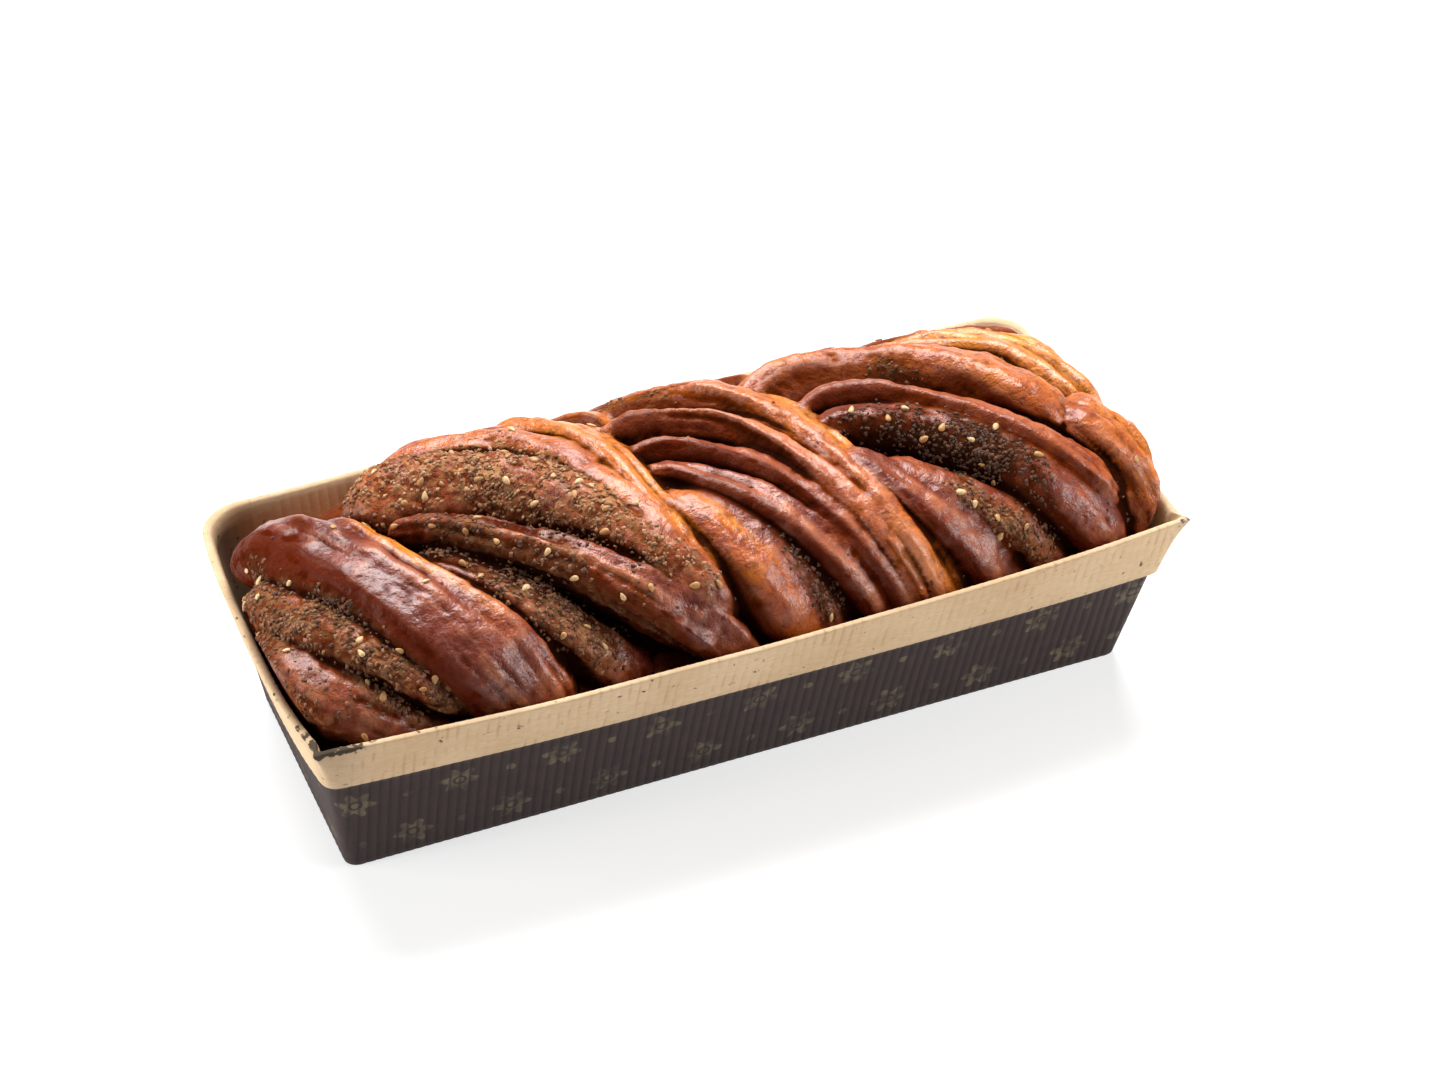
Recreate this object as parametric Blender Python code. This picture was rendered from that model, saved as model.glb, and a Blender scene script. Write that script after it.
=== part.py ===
# A braided babka, baked and sold in a paper loaf case.
# X runs along the loaf, Y across it from its front to its back, and Z up.
# The origin is the middle of the case's underside. Sizes are in millimetres, and a mesh turns them to metres.

import math
import random

import bmesh
import bpy
from mathutils import Matrix, Vector
from mathutils.bvhtree import BVHTree

MM = 0.001

# Paper case: the outer face of its wall, without the turned-down rim
CASE_HEIGHT = 54.0
BASE_HALF_LENGTH = 109.0
BASE_HALF_WIDTH = 37.0
RIM_HALF_LENGTH = 116.5
RIM_HALF_WIDTH = 50.5
PAPER = 1.5
FOLD_THICKNESS = 1.5
FOLD_DEPTH = 20.0

# How far the loaf has pushed the middle of each side out, at the rim
FRONT_BULGE = 5.0
BACK_BULGE = 1.5
LEFT_BULGE = 4.0
RIGHT_BULGE = 0.5

# Corners: pinched to a small ear at the front, rounded at the back
BASE_CORNER = 3.5
FRONT_RIM_CORNER = 4.0
BACK_RIM_CORNER = 10.0
EAR_LENGTH = 2.5
LONG_SIDE_STEPS = 12
SHORT_SIDE_STEPS = 6
CORNER_STEPS = 4

# Loaf: the rounded outline that the tops of the strands reach
LOAF_HALF_LENGTH = 114.0
LOAF_HALF_WIDTH = 47.5
SHOULDER_HEIGHT = 47.0
RISE = 32.0
ROUNDNESS = 2.3
END_DROP_START = 84.0
END_DROP_LENGTH = 32.0
END_DROP = 0.6

# Plain body under the strands
CORE_DEPTH = 10.0
CORE_STATIONS = 17
CORE_ANGLE_STEP = 15
CORE_END_NARROWING = 0.45
BACK_HOLLOW_START = -66.0
BACK_HOLLOW_LENGTH = 18.0
BACK_HOLLOW_DEPTH = 9.0
CASE_GAP = 0.5

# Strand tubes
STRAND_SIDES = 8
STRAND_STEP = 12.0
END_SHARE = 0.14
END_SINK = 0.45
PRESS_STEP = 0.11

# Sesame seeds on the crust
SEED_LENGTH = 3.3
SEED_WIDTH = 2.1
SEED_THICKNESS = 1.4
SEED_SEGMENTS = 5
SEED_RINGS = 4
SEED_LIFT = 0.25
SEED_SPACING = 4.5
SEED_RANDOM = 7

CRUST_COLOUR = (146, 82, 48)
PAPER_COLOUR = (74, 58, 52)

# Each ridge of dough crosses the top of the loaf. Four stations along it give its place:
# x in mm and the angle round the loaf in degrees, 0 at the front shoulder, 90 on top and 180 at the back,
# with its radius there. depth lowers the whole ridge into the loaf.
STRANDS = (
    {"name": "end_front", "x": (-114, -98, -80, -56), "angle": (118, 80, 33, -32),
     "radius": (8.5, 10.5, 10.5, 8.0), "depth": 0.0},
    {"name": "end_crest", "x": (-104, -89, -71, -54), "angle": (112, 77, 32, -30),
     "radius": (4.0, 6.0, 6.5, 5.5), "depth": 0.3},
    {"name": "end_flank", "x": (-94, -79.5, -64, -51), "angle": (106, 70, 34, -28),
     "radius": (4.5, 5.0, 5.5, 5.5), "depth": 2.2},
    {"name": "corner_upper", "x": (-115, -107, -96, -76), "angle": (95, 67, 37, -2),
     "radius": (7.0, 9.0, 7.0, 4.5), "depth": 2.5},
    {"name": "corner_lower", "x": (-116, -113, -101, -76), "angle": (72, 38, 8, -22),
     "radius": (8.0, 10.0, 10.0, 7.0), "depth": 1.5},
    {"name": "hump_front", "x": (-84, -60, -34, -8), "angle": (113, 108, 82, 14),
     "radius": (13.0, 13.0, 12.5, 7.0), "depth": -2.5},
    {"name": "hump_back", "x": (-74, -50, -32, -14), "angle": (138, 122, 96, 44),
     "radius": (9.0, 10.0, 9.0, 5.0), "depth": -1.0},
    {"name": "hump_ridge", "x": (-80, -52, -26, 2), "angle": (90, 67, 30, -30),
     "radius": (4.5, 6.5, 7.5, 6.5), "depth": -0.8},
    {"name": "hump_under", "x": (-80, -63, -48, -29), "angle": (78, 56, 22, -32),
     "radius": (5.0, 7.0, 8.5, 8.0), "depth": 3.6},
    {"name": "hump_tail", "x": (-44, -27, -18, -13), "angle": (143, 115, 72, 28),
     "radius": (7.5, 7.0, 6.5, 4.5), "depth": 0.0},
    {"name": "smooth_front", "x": (-14, -5, 5, 17), "angle": (78, 52, 16, -32),
     "radius": (4.0, 8.5, 11.5, 11.0), "depth": 0.5},
    {"name": "smooth_back", "x": (-9, 2, 12, 23), "angle": (78, 58, 27, -26),
     "radius": (4.0, 5.5, 6.0, 6.0), "depth": 2.4},
    {"name": "pleat_back", "x": (-18, 20, 38, 57), "angle": (143, 108, 50, -32),
     "radius": (6.5, 7.5, 8.0, 8.0), "depth": 0.5},
    {"name": "pleat_upper", "x": (-21, 8, 28, 49), "angle": (107, 98, 61, -28),
     "radius": (5.0, 6.5, 6.5, 6.5), "depth": -0.5},
    {"name": "pleat_middle", "x": (-15, 8, 26, 43), "angle": (94, 82, 46, -26),
     "radius": (4.0, 4.0, 4.5, 4.5), "depth": 0.3},
    {"name": "pleat_lower", "x": (-15, 2, 19, 35), "angle": (87, 71, 37, -28),
     "radius": (4.5, 5.5, 6.5, 6.5), "depth": 0.8},
    {"name": "swell_front", "x": (35, 45, 56, 71), "angle": (78, 50, 20, -32),
     "radius": (5.0, 8.5, 10.5, 10.0), "depth": 0.4},
    {"name": "swell_back", "x": (45, 59, 73, 87), "angle": (68, 45, 16, -28),
     "radius": (4.5, 6.0, 7.0, 7.0), "depth": 2.6},
    {"name": "seeded_face", "x": (32, 58, 81, 103), "angle": (88, 77, 43, -28),
     "radius": (5.0, 9.0, 12.0, 10.5), "depth": 0.5},
    {"name": "seeded_crest", "x": (33, 58, 83, 102), "angle": (94, 89, 62, 20),
     "radius": (3.5, 4.0, 5.5, 6.0), "depth": -0.7},
    {"name": "far_front", "x": (22, 51, 76, 97), "angle": (116, 122, 101, 62),
     "radius": (6.5, 9.0, 9.0, 7.0), "depth": 0.0},
    {"name": "far_crest", "x": (60, 80, 97, 108), "angle": (142, 125, 104, 70),
     "radius": (7.5, 8.5, 9.0, 8.5), "depth": 3.6},
    {"name": "end_rib", "x": (78, 92, 102, 108), "angle": (150, 136, 118, 94),
     "radius": (6.0, 6.5, 6.5, 6.0), "depth": 4.8},
    {"name": "end_nose", "x": (97, 106, 111, 114), "angle": (70, 50, 22, -30),
     "radius": (6.0, 8.5, 9.0, 9.0), "depth": 0.8},
    {"name": "end_knot", "x": (102, 109, 113, 114), "angle": (74, 60, 38, 10),
     "radius": (5.5, 7.0, 7.5, 7.0), "depth": 1.5},
)

# On the far side the ridges run on down to the back of the case, each moving towards the left end.
# Each has its x where it leaves the top, and a depth.
BACK_STRANDS = ((-60, 8.5), (-38, 1.0), (-14, 2.0), (8, 1.0), (32, 2.5), (58, 1.5), (84, 2.5), (107, 3.5))
BACK_DRIFT = (0, -10, -21, -33)
BACK_ANGLES = (130, 146, 163, 180)
BACK_RADII = (8.0, 9.5, 10.0, 9.0)

# Where the seeds lie: stretches of the loaf in x and angle, with the number of seeds on each
SEED_FIELDS = (
    {"x": (48, 88), "angle": (58, 84), "count": 13},
    {"x": (40, 66), "angle": (100, 116), "count": 5},
    {"x": (60, 84), "angle": (20, 44), "count": 4},
    {"x": (90, 108), "angle": (18, 52), "count": 3},
    {"x": (-112, -84), "angle": (14, 50), "count": 7},
    {"x": (-86, -58), "angle": (26, 66), "count": 5},
    {"x": (-76, -24), "angle": (62, 104), "count": 8},
    {"x": (-34, 2), "angle": (14, 40), "count": 4},
    {"x": (8, 44), "angle": (20, 48), "count": 3},
    {"x": (-50, 80), "angle": (140, 160), "count": 6},
)


def linear_colour(channels):
    """The linear colour, with full alpha, of an sRGB colour given from 0 to 255."""
    return tuple(((channel / 255 + 0.055) / 1.055) ** 2.4 for channel in channels) + (1.0,)


def make_material(name, colour, roughness):
    material = bpy.data.materials.new(name)
    material.use_nodes = True
    shader = material.node_tree.nodes["Principled BSDF"]
    shader.inputs["Base Color"].default_value = colour
    shader.inputs["Roughness"].default_value = roughness
    shader.inputs["Metallic"].default_value = 0.0
    material.diffuse_color = colour
    return material


def loft(name, rings, collection, material):
    """One closed skin over rings of equal length, with a flat cap on the first and the last."""
    size = len(rings[0])
    points = [Vector(point) * MM for ring in rings for point in ring]
    faces = [tuple(range(size))[::-1]]
    for ring in range(len(rings) - 1):
        for step in range(size):
            here = ring * size + step
            beside = ring * size + (step + 1) % size
            faces.append((here, beside, beside + size, here + size))
    last = (len(rings) - 1) * size
    faces.append(tuple(range(last, last + size)))
    mesh = bpy.data.meshes.new(name)
    mesh.from_pydata(points, [], faces)
    mesh.materials.append(material)
    obj = bpy.data.objects.new(name, mesh)
    collection.objects.link(obj)
    return obj


def mix(start, end, share):
    return start + (end - start) * share


def through_four(values, share):
    """The cubic curve through four values, at 0, one third, two thirds and 1."""
    first, second, third, fourth = values
    t = 3 * share
    return (
        -first * (t - 1) * (t - 2) * (t - 3) / 6
        + second * t * (t - 2) * (t - 3) / 2
        - third * t * (t - 1) * (t - 3) / 2
        + fourth * t * (t - 1) * (t - 2) / 6
    )


def side_bulge(x, share, at_front):
    """How far a long side is pushed out, at a place along it and a share of the case's height."""
    most = FRONT_BULGE if at_front else BACK_BULGE
    half_length = mix(BASE_HALF_LENGTH, RIM_HALF_LENGTH, share)
    return most * share**1.5 * (1 - min(1.0, abs(x) / half_length) ** 3)


def end_bulge(y, share, at_left):
    """How far an end is pushed out, at a place across it and a share of the case's height."""
    most = LEFT_BULGE if at_left else RIGHT_BULGE
    half_width = mix(BASE_HALF_WIDTH, RIM_HALF_WIDTH, share)
    return most * share**1.5 * (1 - min(1.0, abs(y) / half_width) ** 3)


def corner_radius(share, at_front):
    return mix(BASE_CORNER, FRONT_RIM_CORNER if at_front else BACK_RIM_CORNER, share)


def straight_outline(share, offset):
    """Points round a rounded rectangle, anticlockwise from its front right corner."""
    half_length = mix(BASE_HALF_LENGTH, RIM_HALF_LENGTH, share) + offset
    half_width = mix(BASE_HALF_WIDTH, RIM_HALF_WIDTH, share) + offset
    corners = ((1, -1), (1, 1), (-1, 1), (-1, -1))
    points = []
    for number, (x_side, y_side) in enumerate(corners):
        radius = corner_radius(share, y_side < 0)
        for step in range(CORNER_STEPS + 1):
            turn = math.radians(90 * (number - 1 + step / CORNER_STEPS))
            ear = EAR_LENGTH * share**8 * math.sin(math.pi * step / CORNER_STEPS) ** 3 if y_side < 0 else 0.0
            x = x_side * (half_length - radius + ear) + radius * math.cos(turn)
            y = y_side * (half_width - radius + ear / 2) + radius * math.sin(turn)
            points.append((x, y))
        next_x, next_y = corners[(number + 1) % 4]
        next_radius = corner_radius(share, next_y < 0)
        steps = SHORT_SIDE_STEPS if x_side == next_x else LONG_SIDE_STEPS
        for step in range(1, steps):
            if x_side == next_x:
                start = y_side * (half_width - radius)
                end = next_y * (half_width - next_radius)
                points.append((x_side * half_length, mix(start, end, step / steps)))
            else:
                start = x_side * (half_length - radius)
                end = next_x * (half_length - next_radius)
                points.append((mix(start, end, step / steps), y_side * half_width))
    return points, half_length, half_width


def case_outline(height, offset):
    """Points round the case at a height, offset outwards from the outer face of its wall."""
    share = height / CASE_HEIGHT
    points, half_length, half_width = straight_outline(share, offset)
    outline = []
    for x, y in points:
        on_end = min(1.0, abs(x) / half_length) ** 6
        on_side = min(1.0, abs(y) / half_width) ** 6
        new_x = x + math.copysign(end_bulge(y, share, x < 0) * on_end, x)
        new_y = y + math.copysign(side_bulge(x, share, y < 0) * on_side, y)
        outline.append((new_x, new_y, height))
    return outline


def build_case(collection, material):
    """A tray of corrugated paper: its wall, with the rim turned down over the outside."""
    fold_edge = CASE_HEIGHT - FOLD_DEPTH
    outside = [case_outline(height, 0.0) for height in (0.0, 18.0, fold_edge)]
    fold = [case_outline(height, FOLD_THICKNESS) for height in (fold_edge, 45.0, 51.0, CASE_HEIGHT)]
    inside = [case_outline(height, -PAPER) for height in (CASE_HEIGHT, 51.0, 45.0, 34.0, 18.0, PAPER)]
    return loft("paper_case", outside + fold + inside, collection, material)


def press_in(point, gap):
    """Dough that meets the paper lies flat against it, a gap clear of its walls, floor and round corners."""
    x, y, height = point
    height = max(height, PAPER + gap)
    share = min(1.0, height / CASE_HEIGHT)
    half_length = mix(BASE_HALF_LENGTH, RIM_HALF_LENGTH, share) - PAPER - gap
    half_width = mix(BASE_HALF_WIDTH, RIM_HALF_WIDTH, share) - PAPER - gap
    width = half_width + side_bulge(x, share, y < 0)
    y = max(-width, min(width, y))
    length = half_length + end_bulge(y, share, x < 0)
    x = max(-length, min(length, x))
    past_x = abs(x) - (half_length - BACK_RIM_CORNER)
    past_y = abs(y) - (half_width - BACK_RIM_CORNER)
    reach = math.hypot(past_x, past_y)
    if past_x > 0 and past_y > 0 and reach > BACK_RIM_CORNER:
        shrink = BACK_RIM_CORNER / reach
        x = math.copysign(half_length - BACK_RIM_CORNER + past_x * shrink, x)
        y = math.copysign(half_width - BACK_RIM_CORNER + past_y * shrink, y)
    return Vector((x, y, height))


def signed_power(value, exponent):
    return math.copysign(abs(value) ** exponent, value)


def crust_point(x, angle, depth=0.0):
    """A point of the loaf's outline, sunk by a depth: half a superellipse across the loaf, lower at its ends."""
    end = min(1.0, max(0.0, (abs(x) - END_DROP_START) / END_DROP_LENGTH))
    rise = RISE * math.sqrt(1 - END_DROP * end**2) - depth
    turn = math.radians(angle)
    bulge = side_bulge(x, 1.0, math.cos(turn) > 0)
    half_width = LOAF_HALF_WIDTH + bulge - depth
    y = -half_width * signed_power(math.cos(turn), 2 / ROUNDNESS)
    z = SHOULDER_HEIGHT + rise * signed_power(math.sin(turn), 2 / ROUNDNESS)
    return Vector((x, y, z))


def core_ring(x):
    """One cross-section of the plain body, narrower at the ends and low behind the left end's strands."""
    past = min(1.0, max(0.0, (abs(x) - END_DROP_START) / (LOAF_HALF_LENGTH - END_DROP_START)))
    narrow = math.sqrt(1 - CORE_END_NARROWING * past**2)
    hollow = min(1.0, max(0.0, (BACK_HOLLOW_START - x) / BACK_HOLLOW_LENGTH)) * BACK_HOLLOW_DEPTH
    ring = []
    for angle in range(0, 181, CORE_ANGLE_STEP):
        behind = max(0.0, -math.cos(math.radians(angle))) ** 0.5
        ring.append(crust_point(x, angle, CORE_DEPTH + hollow * behind))
    for side, height in ((1, 34.0), (1, 18.0), (1, PAPER), (-1, PAPER), (-1, 18.0), (-1, 34.0)):
        ring.append(Vector((x, side * 1.2 * LOAF_HALF_WIDTH, height)))
    return [press_in(Vector((point.x, point.y * narrow, point.z)), CASE_GAP) for point in ring]


def build_core(collection, material):
    """The plain body of the loaf under its strands, filling the case."""
    rings = []
    for station in range(CORE_STATIONS):
        rings.append(core_ring(LOAF_HALF_LENGTH * math.cos(math.pi * station / (CORE_STATIONS - 1))))
    return loft("babka", rings, collection, material)


def strand_ring(strand, share, gap):
    """The cross-section of a strand at a share of its length: a circle that shrinks and sinks at both ends."""
    x = through_four(strand["x"], share)
    angle = through_four(strand["angle"], share)
    full_radius = through_four(strand["radius"], share)
    closing = max(0.0, 1 - min(share, 1 - share) / END_SHARE)
    radius = full_radius * math.sqrt(1 - 0.8 * closing**2)
    depth = strand["depth"] + full_radius * (1 + END_SINK * closing**2)
    centre = crust_point(x, angle, depth)
    behind = crust_point(through_four(strand["x"], share - 0.01), through_four(strand["angle"], share - 0.01), depth)
    ahead = crust_point(through_four(strand["x"], share + 0.01), through_four(strand["angle"], share + 0.01), depth)
    along = (ahead - behind).normalized()
    outwards = crust_point(x, angle) - crust_point(x, angle, full_radius)
    across = outwards.cross(along).normalized()
    outwards = along.cross(across)
    ring = []
    for side in range(STRAND_SIDES):
        turn = 2 * math.pi * side / STRAND_SIDES
        point = centre + across * radius * math.cos(turn) + outwards * radius * math.sin(turn)
        ring.append(press_in(point, gap))
    return ring


def strand_length(strand):
    """The rough length of a strand, over twelve straight steps."""
    stations = [step / 12 for step in range(13)]
    points = [crust_point(through_four(strand["x"], s), through_four(strand["angle"], s), 8.0) for s in stations]
    return sum((end - start).length for start, end in zip(points, points[1:]))


def back_strands():
    """The strands of the far side, all on one pattern."""
    for number, (start, depth) in enumerate(BACK_STRANDS):
        yield {
            "name": f"back_{number}",
            "x": tuple(start + drift for drift in BACK_DRIFT),
            "angle": BACK_ANGLES,
            "radius": BACK_RADII,
            "depth": depth,
        }


def build_strands(collection, material):
    """A tube for each strand. Each presses on the paper a little less than the last, so no two faces coincide."""
    for number, strand in enumerate((*STRANDS, *back_strands())):
        rings = max(7, round(strand_length(strand) / STRAND_STEP))
        gap = CASE_GAP + PRESS_STEP * (number % 9)
        shares = [ring / (rings - 1) for ring in range(rings)]
        loft(strand["name"], [strand_ring(strand, share, gap) for share in shares], collection, material)


def join_all(target, collection):
    """Joins every object of a collection to the target and then removes the collection's objects."""
    union = target.modifiers.new("join", "BOOLEAN")
    union.operation = "UNION"
    union.operand_type = "COLLECTION"
    union.collection = collection
    union.solver = "MANIFOLD"
    graph = bpy.context.evaluated_depsgraph_get()
    joined = bpy.data.meshes.new_from_object(target.evaluated_get(graph))
    target.modifiers.clear()
    old = target.data
    target.data = joined
    bpy.data.meshes.remove(old)
    for obj in list(collection.objects):
        bpy.data.objects.remove(obj)


def connected_faces(start):
    """Every face that can be reached from one face across shared edges."""
    found = {start}
    waiting = [start]
    while waiting:
        face = waiting.pop()
        for edge in face.edges:
            for neighbour in edge.link_faces:
                if neighbour not in found:
                    found.add(neighbour)
                    waiting.append(neighbour)
    return found


def keep_outer_skin(obj):
    """Keeps the largest connected skin, which drops scraps and fills the sealed hollows between strands."""
    shape = bmesh.new()
    shape.from_mesh(obj.data)
    left = set(shape.faces)
    skins = []
    while left:
        skin = connected_faces(next(iter(left)))
        skins.append(skin)
        left -= skin
    largest = max(skins, key=lambda skin: sum(face.calc_area() for face in skin))
    scraps = [face for face in shape.faces if face not in largest]
    bmesh.ops.delete(shape, geom=scraps, context="FACES")
    bmesh.ops.triangulate(shape, faces=shape.faces)
    shape.to_mesh(obj.data)
    shape.free()


def seed_place(surface, chance, field):
    """A random place in a field where a seed can lie on the crust, with the way that the crust faces there."""
    x = chance.uniform(*field["x"])
    angle = chance.uniform(*field["angle"])
    above = crust_point(x, angle, -12.0) * MM
    inwards = (crust_point(x, angle, 6.0) * MM - above).normalized()
    place, normal = surface.ray_cast(above, inwards)[:2]
    if place is None or normal.dot(inwards) > -0.5:
        return None
    place = place / MM
    reach = place + normal * SEED_LENGTH
    touches_case = (press_in(reach, CASE_GAP) - reach).length > 0
    if touches_case or place.z < CASE_HEIGHT - 2:
        return None
    return place, normal


def seed_places(loaf):
    """Places, outward directions and turns for all the seeds, none of which meet."""
    chance = random.Random(SEED_RANDOM)
    surface = BVHTree.FromPolygons(
        [vertex.co for vertex in loaf.data.vertices],
        [tuple(face.vertices) for face in loaf.data.polygons],
    )
    places = []
    for field in SEED_FIELDS:
        placed = 0
        for _ in range(40 * field["count"]):
            found = seed_place(surface, chance, field)
            if found is None or any((found[0] - other[0]).length < SEED_SPACING for other in places):
                continue
            places.append((*found, chance.uniform(0, math.pi)))
            placed += 1
            if placed == field["count"]:
                break
    return places


def build_seeds(loaf, collection, material):
    """Sesame seeds: small ellipsoids with one narrow end, partly sunk in the crust."""
    for number, (place, normal, turn) in enumerate(seed_places(loaf)):
        shape = bmesh.new()
        bmesh.ops.create_uvsphere(shape, u_segments=SEED_SEGMENTS, v_segments=SEED_RINGS, radius=0.5 * MM)
        for vertex in shape.verts:
            vertex.co.x *= SEED_THICKNESS
            vertex.co.y *= SEED_WIDTH * (1 - 0.5 * vertex.co.z / MM)
            vertex.co.z *= SEED_LENGTH
        lie = normal.to_track_quat("X", "Z").to_matrix().to_4x4() @ Matrix.Rotation(turn, 4, "X")
        centre = (place + normal * SEED_THICKNESS * SEED_LIFT) * MM
        bmesh.ops.transform(shape, matrix=Matrix.Translation(centre) @ lie, verts=shape.verts)
        mesh = bpy.data.meshes.new(f"seed_{number}")
        shape.to_mesh(mesh)
        shape.free()
        mesh.materials.append(material)
        collection.objects.link(bpy.data.objects.new(mesh.name, mesh))


def build_loaf(collection, pieces, material):
    """The loaf as one solid: its body, its strands and the seeds on its crust."""
    loaf = build_core(collection, material)
    build_strands(pieces, material)
    join_all(loaf, pieces)
    keep_outer_skin(loaf)
    build_seeds(loaf, pieces, material)
    join_all(loaf, pieces)
    keep_outer_skin(loaf)
    return loaf


def main():
    for obj in list(bpy.data.objects):
        bpy.data.objects.remove(obj)
    babka = bpy.data.collections.new("babka")
    pieces = bpy.data.collections.new("babka_pieces")
    bpy.context.scene.collection.children.link(babka)
    bpy.context.scene.collection.children.link(pieces)
    crust = make_material("glazed_crust", linear_colour(CRUST_COLOUR), 0.35)
    paper = make_material("printed_paper", linear_colour(PAPER_COLOUR), 0.8)
    build_loaf(babka, pieces, crust)
    build_case(babka, paper)
    bpy.data.collections.remove(pieces)


main()
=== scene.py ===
import math

import bmesh
import bpy
import numpy as np
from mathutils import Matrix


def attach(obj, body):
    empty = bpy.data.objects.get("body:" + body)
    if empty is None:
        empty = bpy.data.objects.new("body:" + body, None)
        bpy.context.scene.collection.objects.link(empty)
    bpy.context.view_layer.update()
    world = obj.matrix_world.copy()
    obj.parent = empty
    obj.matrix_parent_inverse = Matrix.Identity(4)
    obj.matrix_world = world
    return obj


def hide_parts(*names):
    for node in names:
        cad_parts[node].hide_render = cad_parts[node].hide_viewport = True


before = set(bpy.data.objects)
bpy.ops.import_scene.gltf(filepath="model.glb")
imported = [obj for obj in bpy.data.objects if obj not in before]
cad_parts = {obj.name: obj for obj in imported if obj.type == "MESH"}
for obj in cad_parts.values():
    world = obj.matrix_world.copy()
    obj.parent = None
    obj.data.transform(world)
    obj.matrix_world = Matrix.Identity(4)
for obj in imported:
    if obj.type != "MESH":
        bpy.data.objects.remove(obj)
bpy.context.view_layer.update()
mm = 0.001


# Camera, light and floor

cameraView = {"azimuth": -22.677, "elevation": 38.597, "distance": 939.8, "lens": 88.494,
              "target": (11.64, 8.66, 35.0), "sensorWidth": 36.0, "nearest": 50.0}
lights = (
    {"name": "top_panel", "place": (100, 480, 860), "size": (900, 560), "power": 24.0},
    {"name": "left_panel", "place": (-760, 60, 300), "size": (360, 420), "power": 3.0},
    {"name": "left_low", "place": (-430, -30, 22), "size": (30, 260), "power": 1.0},
    {"name": "right_fill", "place": (640, -420, 360), "size": (420, 380), "power": 4.5},
)
surroundings = {"lightsAim": (0, 0, 40), "sky": "ffffff", "skyStrength": 0.1, "floor": "b4b4b4",
                "floorReach": 6000.0, "floorGlow": 0.63, "floorRoughness": 0.9, "floorSpecular": 0.1}


def hexToLinear(code):
    # sRGB hex to a linear colour with full alpha
    channels = [int(code[i:i + 2], 16) / 255 for i in (0, 2, 4)]
    return tuple(((c + 0.055) / 1.055) ** 2.4 if c > 0.04 else c / 12.92 for c in channels) + (1.0,)


def put(tree, kind, inputs, out=None, stops=(), **settings):
    # Adds a shader node with its settings and, in a ramp, its stops. Inputs are values, or outputs of other
    # nodes to link from. Gives back one output, or all of them where none is named
    node = tree.nodes.new("ShaderNode" + kind)
    for name, value in settings.items():
        setattr(node, name, value)
    for name, value in inputs.items():
        if isinstance(value, bpy.types.NodeSocket):
            tree.links.new(value, node.inputs[name])
        else:
            node.inputs[name].default_value = value
    for number, (position, code) in enumerate(stops):
        elements = node.color_ramp.elements
        element = elements[number] if number < len(elements) else elements.new(position)
        element.position = position
        element.color = hexToLinear(code)
    return node.outputs if out is None else node.outputs[out]


def aimAt(obj, target):
    # Turns a lamp or the camera to look at a point
    direction = unit(np.array(target) - np.array(obj.location))
    obj.rotation_euler = (math.acos(-direction[2]), 0, math.atan2(direction[1], direction[0]) - math.pi / 2)


def makeStage():
    scene = bpy.context.scene
    turn, tilt = math.radians(cameraView["azimuth"]), math.radians(cameraView["elevation"])
    back = np.array((math.sin(turn) * math.cos(tilt), -math.cos(turn) * math.cos(tilt), math.sin(tilt)))
    target = np.array(cameraView["target"]) * mm
    lens = bpy.data.cameras.new("camera")
    lens.lens = cameraView["lens"]
    lens.sensor_width = cameraView["sensorWidth"]
    lens.clip_start = cameraView["nearest"] * mm
    camera = bpy.data.objects.new("camera", lens)
    camera.location = target + back * cameraView["distance"] * mm
    aimAt(camera, target)
    scene.collection.objects.link(camera)
    scene.camera = camera

    for light in lights:
        lamp = bpy.data.lights.new(light["name"], "AREA")
        lamp.shape = "RECTANGLE"
        lamp.size, lamp.size_y = light["size"][0] * mm, light["size"][1] * mm
        lamp.energy = light["power"]
        obj = bpy.data.objects.new(light["name"], lamp)
        obj.location = [v * mm for v in light["place"]]
        aimAt(obj, np.array(surroundings["lightsAim"]) * mm)
        scene.collection.objects.link(obj)

    world = bpy.data.worlds.new("studio")
    world.use_nodes = True
    sky = world.node_tree.nodes["Background"]
    sky.inputs["Color"].default_value = hexToLinear(surroundings["sky"])
    sky.inputs["Strength"].default_value = surroundings["skyStrength"]
    scene.world = world
    scene.view_settings.view_transform = "Standard"

    sheet = bpy.data.meshes.new("floor")
    reach = surroundings["floorReach"] * mm
    sheet.from_pydata([(-reach, -reach, 0), (reach, -reach, 0), (reach, reach, 0), (-reach, reach, 0)], [],
                      [(0, 1, 2, 3)])
    floor = bpy.data.objects.new("floor", sheet)
    scene.collection.objects.link(floor)
    paint, tree, shader = newMaterial("matt_white_sweep")
    shader.inputs["Base Color"].default_value = hexToLinear(surroundings["floor"])
    shader.inputs["Roughness"].default_value = surroundings["floorRoughness"]
    shader.inputs["Specular IOR Level"].default_value = surroundings["floorSpecular"]
    shader.inputs["Emission Color"].default_value = hexToLinear("ffffff")
    shader.inputs["Emission Strength"].default_value = surroundings["floorGlow"]
    sheet.materials.append(paint)


# Helpers for whole arrays

def mix(start, end, share):
    return start + (end - start) * share


def smooth(low, high, value):
    # Rises from 0 at low to 1 at high with level ends
    t = np.clip((value - low) / (high - low), 0, 1)
    return t * t * (3 - 2 * t)


def belt(value, middle, half):
    # A soft bell: 1 in the middle, about a third at the half width
    return np.exp(-((value - middle) / half) ** 2)


def signedPower(value, exponent):
    return np.sign(value) * abs(value) ** exponent


def unit(vectors):
    return vectors / np.maximum(np.linalg.norm(vectors, axis=-1, keepdims=True), 1e-9)


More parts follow.
